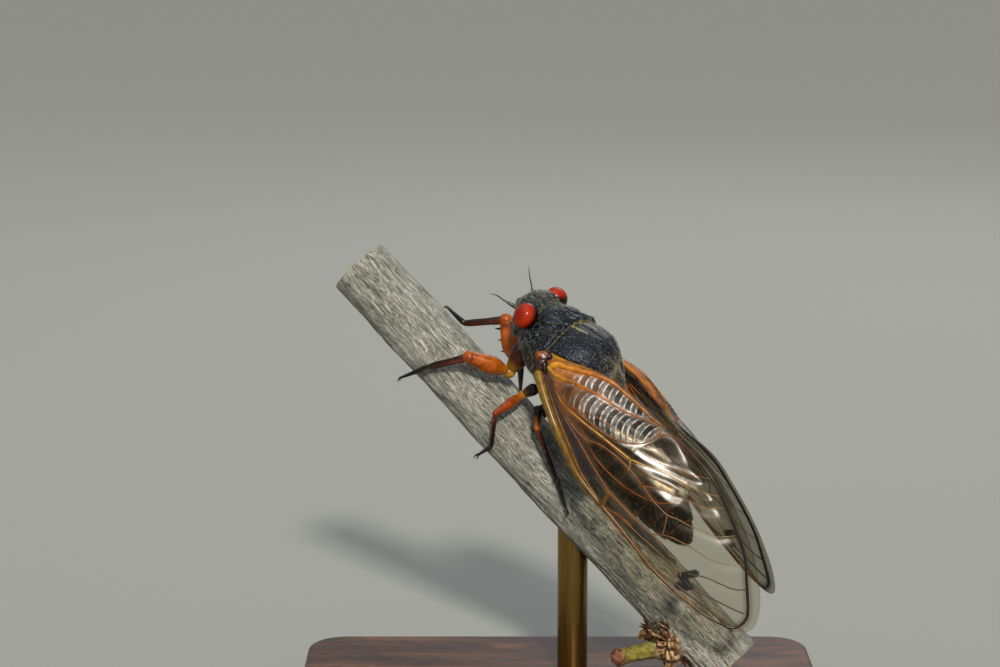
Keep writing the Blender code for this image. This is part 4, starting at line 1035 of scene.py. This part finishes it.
# Translucent orange chitin, mottled with darker brown, with a satin gloss that fine pits break.
place = add_node(tree, "TexCoord").outputs["Object"]
mottle = add_node(tree, "TexNoise", {"Scale": 1400, "Detail": 6, "Roughness": 0.6}, {"Vector": place})
wear_tint(tree, shader, mottle, "#8a7468", 0.75, (0.24, 0.45))
bump = add_node(tree, "Bump", {"Strength": 0.35, "Distance": 0.00005}, {"Height": mottle})
link_up(shader, {"Normal": bump})

for label, joints in LEGS.items():
    fore = label.startswith("fore")
    thickness = FORE_THICKNESS if fore else WALKING_THICKNESS
    colours = FORE_COLOURS if fore else HIND_COLOURS_WITH_PAINTED_SHADE if label.startswith("hind") else WALKING_COLOURS
    pieces = []
    for index, (root, middle, end) in enumerate(thickness):
        a = np.array(joints[index])
        b = np.array(joints[index + 1])
        along = unit(b - a)
        spine = (a - along * root * 0.25, a + (b - a) * 0.12, a + (b - a) * 0.45, a + (b - a) * 0.85,
                 b + along * end * 0.25)
        course = smooth_course(spine, 8)
        widths = smooth_course([(w, 0, 0) for w in (root * 0.6, root, middle, end, end * 0.65)], 8)[:, 0]
        ends = np.sqrt(1 - np.clip(np.abs(np.linspace(-1, 1, len(course))) - 0.9, 0, 0.1) ** 2 * 60)
        bend = np.array(joints[3]) - np.array(joints[2]) if index < 2 else SHADED_SIDE_WAY
        pieces.append(tinted_form("length", bar_rings(course, widths / 2 * ends, 24, 0.85, bend),
                                  colours[index], PAINTED_SHIN_SHADE if index > 1 else 0.0))
    for joint, swelling in ((1, 1.05), (2, 0.85)):
        width = thickness[joint - 1][2] * swelling
        knob = ball("joint", joints[joint], [width / 2] * 3, 24, 16)
        code = colours[joint - 1][2]
        give_tint(knob.data, blended((code, code), np.zeros(len(knob.data.vertices))))
        pieces.append(knob)
    hip, knee, ankle, foot = [np.array(joints[k]) for k in (1, 2, 3, 4)]
    if fore:
        along = unit(knee - hip)
        below = unit((ankle - knee) - along * ((ankle - knee) @ along))
        for share in THIGH_SPINES:
            root = hip + (knee - hip) * share
            tip = root + unit(below + along * 0.35) * (thickness[1][1] / 2 + 0.38)
            pieces.append(thorn(root, tip, 0.3, 0.03, ("#8a3a14", "#2a120a", "#0c0908")))
    if label.startswith("hind"):
        along = Vector(unit(ankle - knee))
        outwards = along.cross(Vector((0, 1, 0))).normalized()
        for share, turn in SPURS:
            lean = np.array(Matrix.Rotation(math.radians(turn), 3, along) @ outwards)
            root = knee + (ankle - knee) * share - lean * 0.05
            tip = root + lean * (thickness[2][1] / 2 + 0.35) + np.array(along) * 0.45
            pieces.append(thorn(root, tip, 0.14, 0.02, ("#7a3a18", "#2a120a", "#0c0908")))
    along = Vector(unit(foot - ankle))
    sideways = along.cross(Vector((0, 0, 1))).normalized()
    down = along.cross(sideways).normalized()
    if down.z > 0:
        down = -down
    for side in (1, -1):
        lean = (along + sideways * side * 0.35).normalized()
        course = smooth_course([foot - np.array(along) * 0.15, foot + np.array(lean) * 0.38,
                                foot + np.array(lean) * 0.6 + np.array(down) * 0.3], 8)
        pieces.append(tinted_form("claw", bar_rings(course, np.linspace(0.14, 0.025, len(course)), 12),
                                  ("#140f0c", "#3a1a0c")))
    leg = join_all(pieces)
    leg.name = f"{label}_cuticle"
    rng = np.random.default_rng(60)
    skin_at, faces_out = positions(leg.data), surface_normals(leg.data)
    picks = rng.choice(len(skin_at), BRISTLES, replace=False)
    lie = laid_down(unit(foot - hip) + rng.normal(0, 0.3, (BRISTLES, 3)), faces_out[picks])
    bristles = spikes(f"{label}_bristles", skin_at[picks], faces_out[picks], lie,
                      rng.uniform(0.2, 0.45, BRISTLES), rng.uniform(0.3, 0.9, BRISTLES),
                      hair_tints(rng, BRISTLES, (0.2, 0.1, 0.1, 0.6)))
    bake_place(bristles, BODY_PLACE)
    fit(bristles, hair, "orange_chitin")
    bake_place(leg, BODY_PLACE)
    leg.data.shade_smooth()
    fit(leg, satin, "orange_chitin", label)

# Forewings. A clear glossy membrane, thinner than paper, stretched between orange veins that stand up on both
# faces. It is cut to the same plan as the solids, laid on the same curved sheet, and puckered between the
# hind veins.
WING_RIDGE_HALF_GAP = 0.45
FOREWING_OUTLINE = (
    (0.1, -0.6), (0.2, 0.6), (1.3, 1.3), (4.0, 2.5), (7.0, 3.4), (10.5, 4.2), (14.7, 4.5),
    (18.0, 4.5), (21.4, 4.35), (24.4, 3.85), (27.1, 3.2), (29.4, 2.55), (31.2, 1.9), (32.3, 1.0),
    (32.6, 0.0), (32.0, -1.2), (30.5, -2.6), (28.6, -3.8), (26.6, -4.9), (24.4, -5.8), (22.0, -6.5),
    (19.6, -6.9), (17.4, -6.9), (15.2, -6.6), (13.4, -6.1), (12.2, -5.5), (10.3, -5.5), (6.8, -4.7),
    (4.6, -3.75), (2.7, -2.65), (1.6, -2.1), (0.5, -1.5),
)
# Each vein: its radius at the root and at the end, its colours, and its course over the wing's plan.
AMBER, RUST, TAN, SOOT = "#7c4c08", "#663608", "#8a7040", "#14110d"
FOREWING_VEINS = (
    (0.48, 0.26, ("#7c5e0e", "#6c500a", "#5e400a"),
     ((0.5, 0.85), (2.9, 1.85), (5.4, 2.7), (7.9, 3.4), (10.4, 4.0), (12.2, 4.1), (14.5, 4.1))),
    (0.1, 0.09, ("#2c160c", "#6a440a", "#80540e", AMBER),
     ((0.7, 0.3), (3.4, 1.4), (6.1, 2.3), (8.7, 3.05), (11.2, 3.7), (14.3, 3.95))),
    (0.2, 0.13, ("#6a4410", "#5e3e10", "#4e3010"),
     ((14.5, 4.1), (16.4, 4.0), (19.2, 4.0), (21.9, 4.0), (24.0, 3.8), (26.4, 3.4), (28.5, 2.9),
      (30.7, 2.0))),
    (0.14, 0.12, ("#3a2814", SOOT, SOOT, "#2a1c12", "#6a4420"),
     ((30.7, 2.0), (31.5, 1.3), (31.6, 0.2), (31.0, -0.7), (28.8, -2.3), (26.8, -3.7), (24.0, -4.8),
      (21.9, -5.5), (19.2, -6.2), (16.4, -6.1), (14.0, -5.6), (12.7, -4.5))),
    (0.2, 0.12, ("#b5841c", "#a8700f", AMBER),
     ((-0.1, -1.25), (0.7, -1.35), (1.95, -2.15), (3.05, -2.75), (4.2, -3.35))),
    (0.36, 0.12, ("#c08a1c", "#b06a0c", "#9a5a0e", AMBER),
     ((0.95, -0.35), (1.35, -1.0), (2.2, -1.6), (3.2, -2.3), (4.4, -3.2), (5.9, -4.0), (7.5, -4.4),
      (9.2, -4.7), (11.0, -4.95), (12.3, -5.3))),
    (0.24, 0.06, ("#bd8a1e", "#9a5410", AMBER),
     ((0.85, -0.2), (1.4, -0.15), (2.0, -0.25), (2.8, -0.6), (3.6, -1.1), (4.6, -1.5), (5.8, -2.1),
      (7.7, -2.8), (9.0, -3.3), (10.4, -4.1), (11.6, -4.8), (12.4, -5.3))),
    (0.11, 0.08, ("#3a1c0c", "#6e3808", RUST, AMBER),
     ((2.0, 0.4), (3.6, 0.6), (4.8, 0.7), (6.3, 0.3), (8.1, -0.1), (9.9, -0.6), (11.3, -1.4), (12.3, -2.5),
      (12.7, -3.6), (12.6, -4.9))),
    (0.1, 0.085, (AMBER, "#a87a22", "#c0902a"),
     ((2.4, 0.3), (4.5, 0.9), (7.2, 0.5), (9.1, 0.05), (11.0, -0.4), (12.9, -0.85))),
    (0.08, 0.045, ("#c0902a", TAN),
     ((12.9, -0.85), (14.1, -1.5), (15.3, -2.2), (16.8, -3.0), (18.6, -3.8), (20.0, -4.6), (21.0, -5.6))),
    (0.055, 0.04, ("#c0902a", TAN), ((12.9, -0.85), (13.4, -0.4), (13.6, 0.0))),
    (0.055, 0.04, (AMBER, TAN),
     ((12.7, -2.0), (13.8, -2.3), (15.1, -2.9), (16.3, -3.7), (18.1, -4.9), (19.2, -6.1))),
    (0.08, 0.055, (RUST, AMBER),
     ((4.4, 1.2), (7.0, 1.5), (8.8, 1.25), (9.9, 0.6), (11.5, 0.1), (13.6, -0.2), (15.6, -0.2))),
    (0.055, 0.04, (AMBER, TAN),
     ((15.5, -0.1), (17.0, -1.4), (18.0, -1.9), (19.2, -2.6), (20.3, -3.2), (21.0, -3.7), (22.2, -5.3))),
    (0.055, 0.04, (AMBER, TAN),
     ((15.6, -0.2), (17.2, -0.1), (19.1, -0.3), (20.1, -0.8), (21.6, -1.5), (22.6, -2.1), (23.8, -2.8),
      (24.8, -4.3))),
    (0.085, 0.065, ("#2c160c", RUST, AMBER, AMBER),
     ((2.0, 0.8), (4.5, 1.4), (6.5, 1.7), (8.8, 2.0), (11.3, 2.4), (13.9, 2.7), (14.4, 3.5), (14.8, 4.0))),
    (0.06, 0.04, (AMBER, AMBER, TAN),
     ((13.9, 2.7), (15.8, 2.5), (17.8, 2.3), (19.6, 2.0), (20.4, 1.2), (21.5, 0.5), (23.1, -0.2),
      (24.9, -0.8), (26.2, -1.7), (27.4, -3.0))),
    (0.055, 0.045, (AMBER, TAN), ((19.6, 2.0), (20.9, 1.9), (22.1, 1.9), (23.3, 1.7), (24.6, 2.3))),
    (0.07, 0.05, (AMBER, RUST),
     ((14.8, 4.0), (15.9, 3.5), (17.1, 3.2), (18.8, 3.0), (20.5, 2.7), (22.3, 2.4), (24.2, 2.4))),
    (0.08, 0.075, ("#4a3010", "#2c1c12"),
     ((22.6, 3.9), (23.9, 3.4), (25.0, 3.1), (26.2, 2.8), (27.7, 2.4), (29.0, 2.1), (30.5, 1.9))),
    (0.07, 0.07, ("#2c1c12", "#2c1c12"),
     ((25.0, 2.3), (26.4, 2.1), (27.5, 1.5), (28.6, 1.0), (29.9, 0.4), (31.0, -0.2))),
    (0.065, 0.065, ("#4a3018", "#3a2616"),
     ((24.7, 1.7), (25.7, 0.8), (26.6, 0.2), (27.6, -0.3), (28.6, -0.9), (29.4, -1.8))),
    (0.06, 0.05, (AMBER, TAN), ((19.2, -0.3), (19.9, 0.5), (20.4, 1.2))),
)
# The clavus, the hind lobe that folds over the back.
CLAVUS = ((1.6, 0.1), (3.6, 0.6), (6.3, 0.3), (8.1, -0.1), (9.9, -0.6), (11.3, -1.4), (12.3, -2.5),
          (12.7, -3.6), (12.5, -5.0), (9.9, -4.7), (7.2, -4.4), (4.8, -3.5), (2.5, -2.4), (1.4, -1.1))
# The amber swelling beside the hinge, and the dark mark on the cross vein near the tip.
CLUB = ((0.9, -0.3), (1.4, -1.1), (2.4, -1.8), (3.4, -2.5), (3.9, -2.3), (3.3, -1.3), (2.4, -0.6),
        (1.5, -0.2))
MARK = ((25.0, 3.1), (25.5, 2.7), (25.9, 2.2), (24.9, 2.3), (24.5, 2.3), (24.8, 1.8), (25.2, 1.0))
# Painted shade: between the costal band and the middle veins the film is painted dark near the hinge.
PAINTED_SHADE_NEAR_HINGE = ((0.9, 0.4), (1.6, 0.7), (2.6, 1.0), (4.5, 1.6), (8.0, 2.2), (11.0, 3.0))
FILM_HALF_THICKNESS = 0.02
FOREWING_GRID = 0.2
HINDWING_GRID = 0.35
HINDWING_SINK = 1.05
FOLD_EVERY = 1.1
FOLD_DEPTH = 0.025
PUCKER = 0.08
HINDWING_OUTLINE = (
    (5.0, 0.6), (7.5, 1.9), (11.0, 2.6), (15.0, 1.9), (18.2, 0.2), (19.6, -1.8), (19.4, -3.2), (17.8, -4.2),
    (15.0, -4.4), (12.0, -3.9), (9.0, -2.8), (6.6, -1.3), (5.2, -0.3),
)
HINDWING_VEINS = (
    (0.1, 0.07, ("#b8641e", "#8a4416"),
     ((5.6, 0.4), (8.0, 1.3), (11.0, 1.9), (14.8, 1.3), (17.6, -0.2), (18.8, -1.9))),
    (0.08, 0.06, ("#b8641e", "#b8843a"), ((5.8, 0.1), (9.5, 0.0), (13.5, -0.8), (17.6, -2.4))),
    (0.08, 0.06, ("#b8641e", "#b8843a"), ((6.0, -0.2), (9.0, -1.4), (12.6, -2.9), (15.2, -3.7))),
)


def wing_points(places, label):
    """Where places of a wing's plan lie, in the body's frame."""
    hinge, along, across, size, side = [np.array(part) for part in WINGS[label]]
    u, v = (np.asarray(places, float) * size).T
    outwards = np.cross(across, along)
    outwards = outwards / np.linalg.norm(outwards) * (-1 if outwards[1] < 0 else 1)
    rise = np.clip(u / CAMBER_START, 0, 1) * np.clip((33.0 - u) / 14.0, 0, 1)
    points = hinge + np.outer(u, along) + np.outer(v, across) + np.outer(camber(rise, v), outwards)
    spare = points[:, 1] - WING_RIDGE_HALF_GAP
    kept = 0.5 * (spare + np.sqrt(spare * spare + 0.25))
    height = points[:, 2] + 0.35 * (kept - spare) - (folded_down(u, v) if side < 0 else 0)
    return np.stack([points[:, 0], side * (WING_RIDGE_HALF_GAP + kept), height], axis=1)


def wing_normals(places, label):
    """The ways that places of a wing's outer face look."""
    places = np.asarray(places, float)
    along = wing_points(places + (0.05, 0), label) - wing_points(places - (0.05, 0), label)
    across = wing_points(places + (0, 0.05), label) - wing_points(places - (0, 0.05), label)
    return unit(np.cross(across, along) * WINGS[label][4])


def inside_outline(places, outline):
    """Which places of the plan lie within an outline."""
    inside = np.zeros(len(places), bool)
    x, y = np.asarray(places).T
    for (ax, ay), (bx, by) in zip(outline, np.roll(outline, -1, axis=0)):
        crosses = (ay > y) != (by > y)
        with np.errstate(divide="ignore", invalid="ignore"):
            inside ^= crosses & (x < (bx - ax) * (y - ay) / (by - ay) + ax)
    return inside


def closed_course(points, steps):
    """A smooth loop through the points."""
    wrapped = [points[-1], *points, points[0], points[1]]
    return smooth_course(wrapped, steps)[steps : -steps - 1]


def film_relief(flat, lines, folded, label):
    """The film's swell, how near its veins are, and the phase and strength of its cross folds."""
    u, v = flat.T
    near = np.min([distances(flat, smooth_course(line[3], 3)) for line in lines], axis=0)
    swell = PUCKER * (1 - np.exp(-((near / 0.6) ** 2)))
    swell = swell + 0.006 * waves(u * 0.5, v * 1.6, 71, 10, 0.5, 2.5) * np.clip(near / 0.4, 0, 1)
    if not folded:
        return swell, near, u / FOLD_EVERY, np.zeros(len(flat))
    vein = np.interp(u, (1.6, 3.0, 4.6, 5.8, 7.7, 9.0, 10.4, 12.4),
                     (0.1, -0.3, -1.3, -2.1, -2.8, -3.3, -4.1, -5.3))
    middle = np.where(v > vein, np.interp(u, (3.0, 7.7, 9.0, 10.4, 11.5), (0.2, -1.4, -1.9, -2.5, -3.2)),
                      vein - 0.9)
    phase = (u - 0.4 * (v - middle) - 0.22 * (v - middle) ** 2) / FOLD_EVERY
    strength = inside_outline(flat, CLAVUS) * np.clip((near - 0.1) / 0.2, 0, 1)
    strength = strength * np.where(v > vein, np.clip((u - 4.5) / 1.5, 0.1, 1),
                                   np.clip((u - 3.0) / 1.0, 0.1, 1))
    if label == "right":
        strength = strength * (v > vein) * (1 - np.clip(3 * hind_strip(u, v), 0, 1))
    return swell + FOLD_DEPTH * np.sin(phase * math.tau) * strength, near, phase, strength


def membrane(name, outline, lines, label, sink, spacing):
    """A thin closed sheet over the wing's plan, whose two faces have the same triangles."""
    folded = sink == 0
    outline = closed_course(outline, 5)
    low, high = outline.min(axis=0), outline.max(axis=0)
    ways = [np.arange(low[k], high[k], spacing) for k in (0, 1)]
    grid = np.stack(np.meshgrid(*ways), axis=-1).reshape(-1, 2)
    grid[:, 0] += np.where(np.round((grid[:, 1] - low[1]) / spacing) % 2, spacing / 2, 0)
    grid = grid[inside_outline(grid, outline)]
    grid = grid[distances(grid, np.vstack([outline, outline[:1]])) > spacing * 0.5]
    places = [Vector(place) for place in np.vstack([outline, grid])]
    edges = [(index, (index + 1) % len(outline)) for index in range(len(outline))]
    flat, _, triangles, *_ = delaunay_2d_cdt(places, edges, [list(range(len(outline)))], 1, 0.001)
    flat = np.array([place[:] for place in flat])
    swell, near, phase, strength = film_relief(flat, lines, folded, label)
    outwards = wing_normals(flat, label)
    middle = wing_points(flat, label) + outwards * (swell - sink)[:, None]
    upper = middle + outwards * FILM_HALF_THICKNESS
    lower = middle - outwards * FILM_HALF_THICKNESS
    count = len(flat)
    faces = []
    border = {}
    for triangle in triangles:
        for corner in range(3):
            a, b = triangle[corner], triangle[(corner + 1) % 3]
            if (b, a) in border:
                del border[(b, a)]
            else:
                border[(a, b)] = True
        faces.append(tuple(triangle))
        faces.append(tuple(index + count for index in reversed(triangle)))
    for a, b in border:
        faces.append((b, a, a + count, b + count))
    thing = new_thing(name, np.vstack([upper, lower]), faces)
    plan = thing.data.attributes.new("plan", "FLOAT_VECTOR", "POINT")
    level = np.column_stack([np.vstack([flat, flat]), np.zeros(2 * count)])
    plan.data.foreach_set("vector", level.astype(np.float32).ravel())
    u, v = flat.T
    amber = np.clip(1.15 - u / 8.0, 0, 1) * np.clip((near + 0.5) / 0.5, 0, 1)
    amber = amber + 0.5 * crest(near, 0.35) * (u < 18)
    mark = np.zeros(count)
    haze = np.zeros(count)
    matt = strength
    if folded:
        # The dark mark near the tip and the smoke along the margin vein are the wing's own; the darkening
        # near the hinge is painted shade.
        mark = np.clip(2 * crest(distances(flat, MARK), 0.36), 0, 1) + 0.9 * crest(distances(flat, PAINTED_SHADE_NEAR_HINGE), 1.2)
        mark += 0.3 * crest(distances(flat, smooth_course(FOREWING_VEINS[3][3], 3)), 0.55)
        amber = amber + 1.5 * inside_outline(flat, CLUB)
        matt = np.clip(strength + 1.4 * crest(distances(flat, HIND_MARGIN[:7]), 1.2), 0, 1.3)
        if label == "right":
            amber = amber + 1.2 * np.clip((12 - u) / 4, 0, 1) * np.clip(2 * hind_strip(u, v), 0, 1)
            # Painted sheen: the right wing's folded hind strip is painted lilac-grey.
            haze = np.clip((u - 9) / 4, 0, 1) * np.clip((21 - u) / 5, 0, 1) * hind_strip(u, v)
    for key, values in (("fold_phase", phase), ("folds", strength), ("matt", matt), ("haze", haze),
                        ("amber", np.clip(amber, 0, 1.6)), ("mark", mark)):
        give_mask(thing.data, key, np.tile(values, 2))
    thing.data.shade_smooth()
    return thing


def veins(name, lines, label, sink):
    """Round bars along the veins, half sunk in the membrane."""
    pieces = []
    for first, last, codes, course in lines:
        course = smooth_course(course, 8)
        points = wing_points(course, label) - wing_normals(course, label) * sink
        radii = np.linspace(first, last, len(course))
        radii[0] *= 0.5
        radii[-1] *= 0.5
        flat_way = np.cross(wing_normals(course[:1], label)[0], points[1] - points[0])
        pieces.append(tinted_form("vein", bar_rings(points, radii, 10, 0.8, flat_way), codes))
    thing = join_all(pieces)
    thing.name = name
    thing.data.shade_smooth()
    return thing


film, tree, shader = finish("clear wing membrane", {"IOR": 1.56, "Specular IOR Level": 0.62})
# Clear chitin film, amber near the hinge and beside the veins, smoky where dust clings, painted dark near the
# hinge as painted shade, and painted a lilac-grey sheen on the right wing's folded hind strip. Each cross
# fold of the clavus carries two painted silvery highlight lines, where it would catch the light.
plan = add_node(tree, "Attribute", {"attribute_name": "plan"}).outputs["Vector"]
amber, mark, phase, folds, matt, haze = [
    add_node(tree, "Attribute", {"attribute_name": mask})
    for mask in ("amber", "mark", "fold_phase", "folds", "matt", "haze")
]
cloud = add_node(tree, "TexNoise", {"Scale": 0.6, "Detail": 3, "Roughness": 0.5}, {"Vector": plan})
mottle = add_node(tree, "TexNoise", {"Scale": 2.5, "Detail": 4}, {"Vector": plan})
turned = add_node(tree, "Math", {"operation": "FRACT"}, {0: phase})
# Painted highlight: the ramp draws two silvery lines in each period of the cross folds.
lines = add_node(tree, "ValToRGB",
                 {"stops": ((0.0, "#000000"), (0.09, "#ffffff"), (0.2, "#7c7c7c"), (0.42, "#868686"),
                            (0.54, "#ffffff"), (0.64, "#000000"))}, {"Fac": turned})
uneven = add_node(tree, "MapRange", {"From Min": 0.35, "From Max": 0.6, "To Min": 0.25}, {"Value": mottle})
painted_fold_highlight = add_node(tree, "Math", {"operation": "MULTIPLY"}, {0: lines, 1: folds})
painted_fold_highlight = add_node(tree, "Math", {"operation": "MULTIPLY"}, {0: painted_fold_highlight, 1: uneven})
patchy = add_node(tree, "MapRange", {"From Min": 0.3, "From Max": 0.6, "To Min": 0.45}, {"Value": cloud})
honey = add_node(tree, "Math", {"operation": "MULTIPLY"}, {0: amber, 1: patchy})
tones = add_node(tree, "ValToRGB", {"stops": ((0.35, "#1a140b"), (0.65, "#4c4636"))}, {"Fac": cloud})
colour = tones
# Over the film's own tones: painted sheen, honey amber, painted silvery highlights, then dark marks and
# painted shade.
for amount, code in ((haze, "#77727e"), (honey, "#935604"), (painted_fold_highlight, "#cdd1d6"), (mark, "#0c0604")):
    colour = add_node(tree, "Mix", {"data_type": "RGBA", 7: linear(code)}, {0: amount, 6: colour})
dull = add_node(tree, "Math", {"operation": "MULTIPLY_ADD", 1: 0.28, 2: 0.2}, {0: matt})
ripples = add_node(tree, "TexNoise", {"Scale": 1.6, "Detail": 3, "Distortion": 0.4}, {"Vector": plan})
bump = add_node(tree, "Bump", {"Strength": 0.12, "Distance": 0.0001}, {"Height": ripples})
link_up(shader, {"Base Color": colour, "Roughness": dull, "Normal": bump})
sheen = add_node(tree, "Fresnel", {"IOR": 1.5})
body = add_node(tree, "MapRange", {"From Min": 0.35, "From Max": 0.7, "To Min": 0.03, "To Max": 0.08},
                {"Value": cloud})
for amount, share in ((sheen, 0.5), (haze, 0.5), (honey, 0.55), (painted_fold_highlight, 0.8), (mark, 0.92)):
    body = add_node(tree, "Math", {"operation": "MULTIPLY_ADD", 1: share, "use_clamp": True},
                    {0: amount, 2: body})
clear = add_node(tree, "BsdfTransparent", {"Color": linear("#f4f1e8")})
through = add_node(tree, "MixShader", {}, {0: body, 1: clear, 2: shader})
link_up(tree.nodes["Material Output"], {"Surface": through})

for label in WINGS:
    for kind, outline, lines, sink, grid in (
        ("forewing", FOREWING_OUTLINE, FOREWING_VEINS, 0.0, FOREWING_GRID),
        ("hindwing", HINDWING_OUTLINE, HINDWING_VEINS, HINDWING_SINK, HINDWING_GRID),
    ):
        sheet = membrane(f"{kind}_{label}_membrane", outline, lines, label, sink, grid)
        ribs = veins(f"{kind}_{label}_veins", lines, label, sink)
        for piece, material, slot in ((sheet, film, "wing_membrane"), (ribs, satin, "orange_chitin")):
            bake_place(piece, BODY_PLACE)
            fit(piece, material, slot, f"{kind}_{label}")

# The hinge of each forewing. Brown plates of hard chitin that have grown together under the front corner of
# the wing; rounded lumps are fused to one skin, and each part of it takes the tints of the nearest lumps.
PLATE_GRAIN = 0.06
PLATE_SOFTENING = 40
PLATE_BLEND = 0.3
# Each lump: its place on the wing's plan, its radius and its colour.
PLATES = (((-0.5, -0.2), 0.5, "#7a400e"), ((-0.3, -0.75), 0.42, "#6a3c12"), ((0.2, -0.85), 0.4, "#2a121c"),
          ((0.0, -0.3), 0.46, "#3a1a16"), ((0.15, 0.2), 0.46, "#2c1214"), ((0.55, 0.0), 0.42, "#120810"),
          ((0.85, 0.2), 0.34, "#0e0709"), ((1.15, 0.32), 0.24, "#0e0607"), ((1.4, 0.4), 0.16, "#120706"),
          ((0.5, 0.55), 0.36, "#4a280c"))

for label in WINGS:
    spots = wing_points([place for place, _, _ in PLATES], label)
    lumps = [ball("plate", spot, [plate[1]] * 3, 24, 16) for spot, plate in zip(spots, PLATES)]
    plates = join_all(lumps)
    plates.name = f"wing_hinge_{label}"
    voxel_remesh(plates, PLATE_GRAIN, PLATE_SOFTENING)
    far = np.linalg.norm(positions(plates.data)[:, None] - spots[None], axis=2)
    share = np.exp(-((far / PLATE_BLEND) ** 2)) + 1e-9
    share /= share.sum(axis=1)[:, None]
    give_tint(plates.data, share @ np.array([linear(plate[2]) for plate in PLATES]))
    bake_place(plates, BODY_PLACE)
    fit(plates, satin, "orange_chitin")
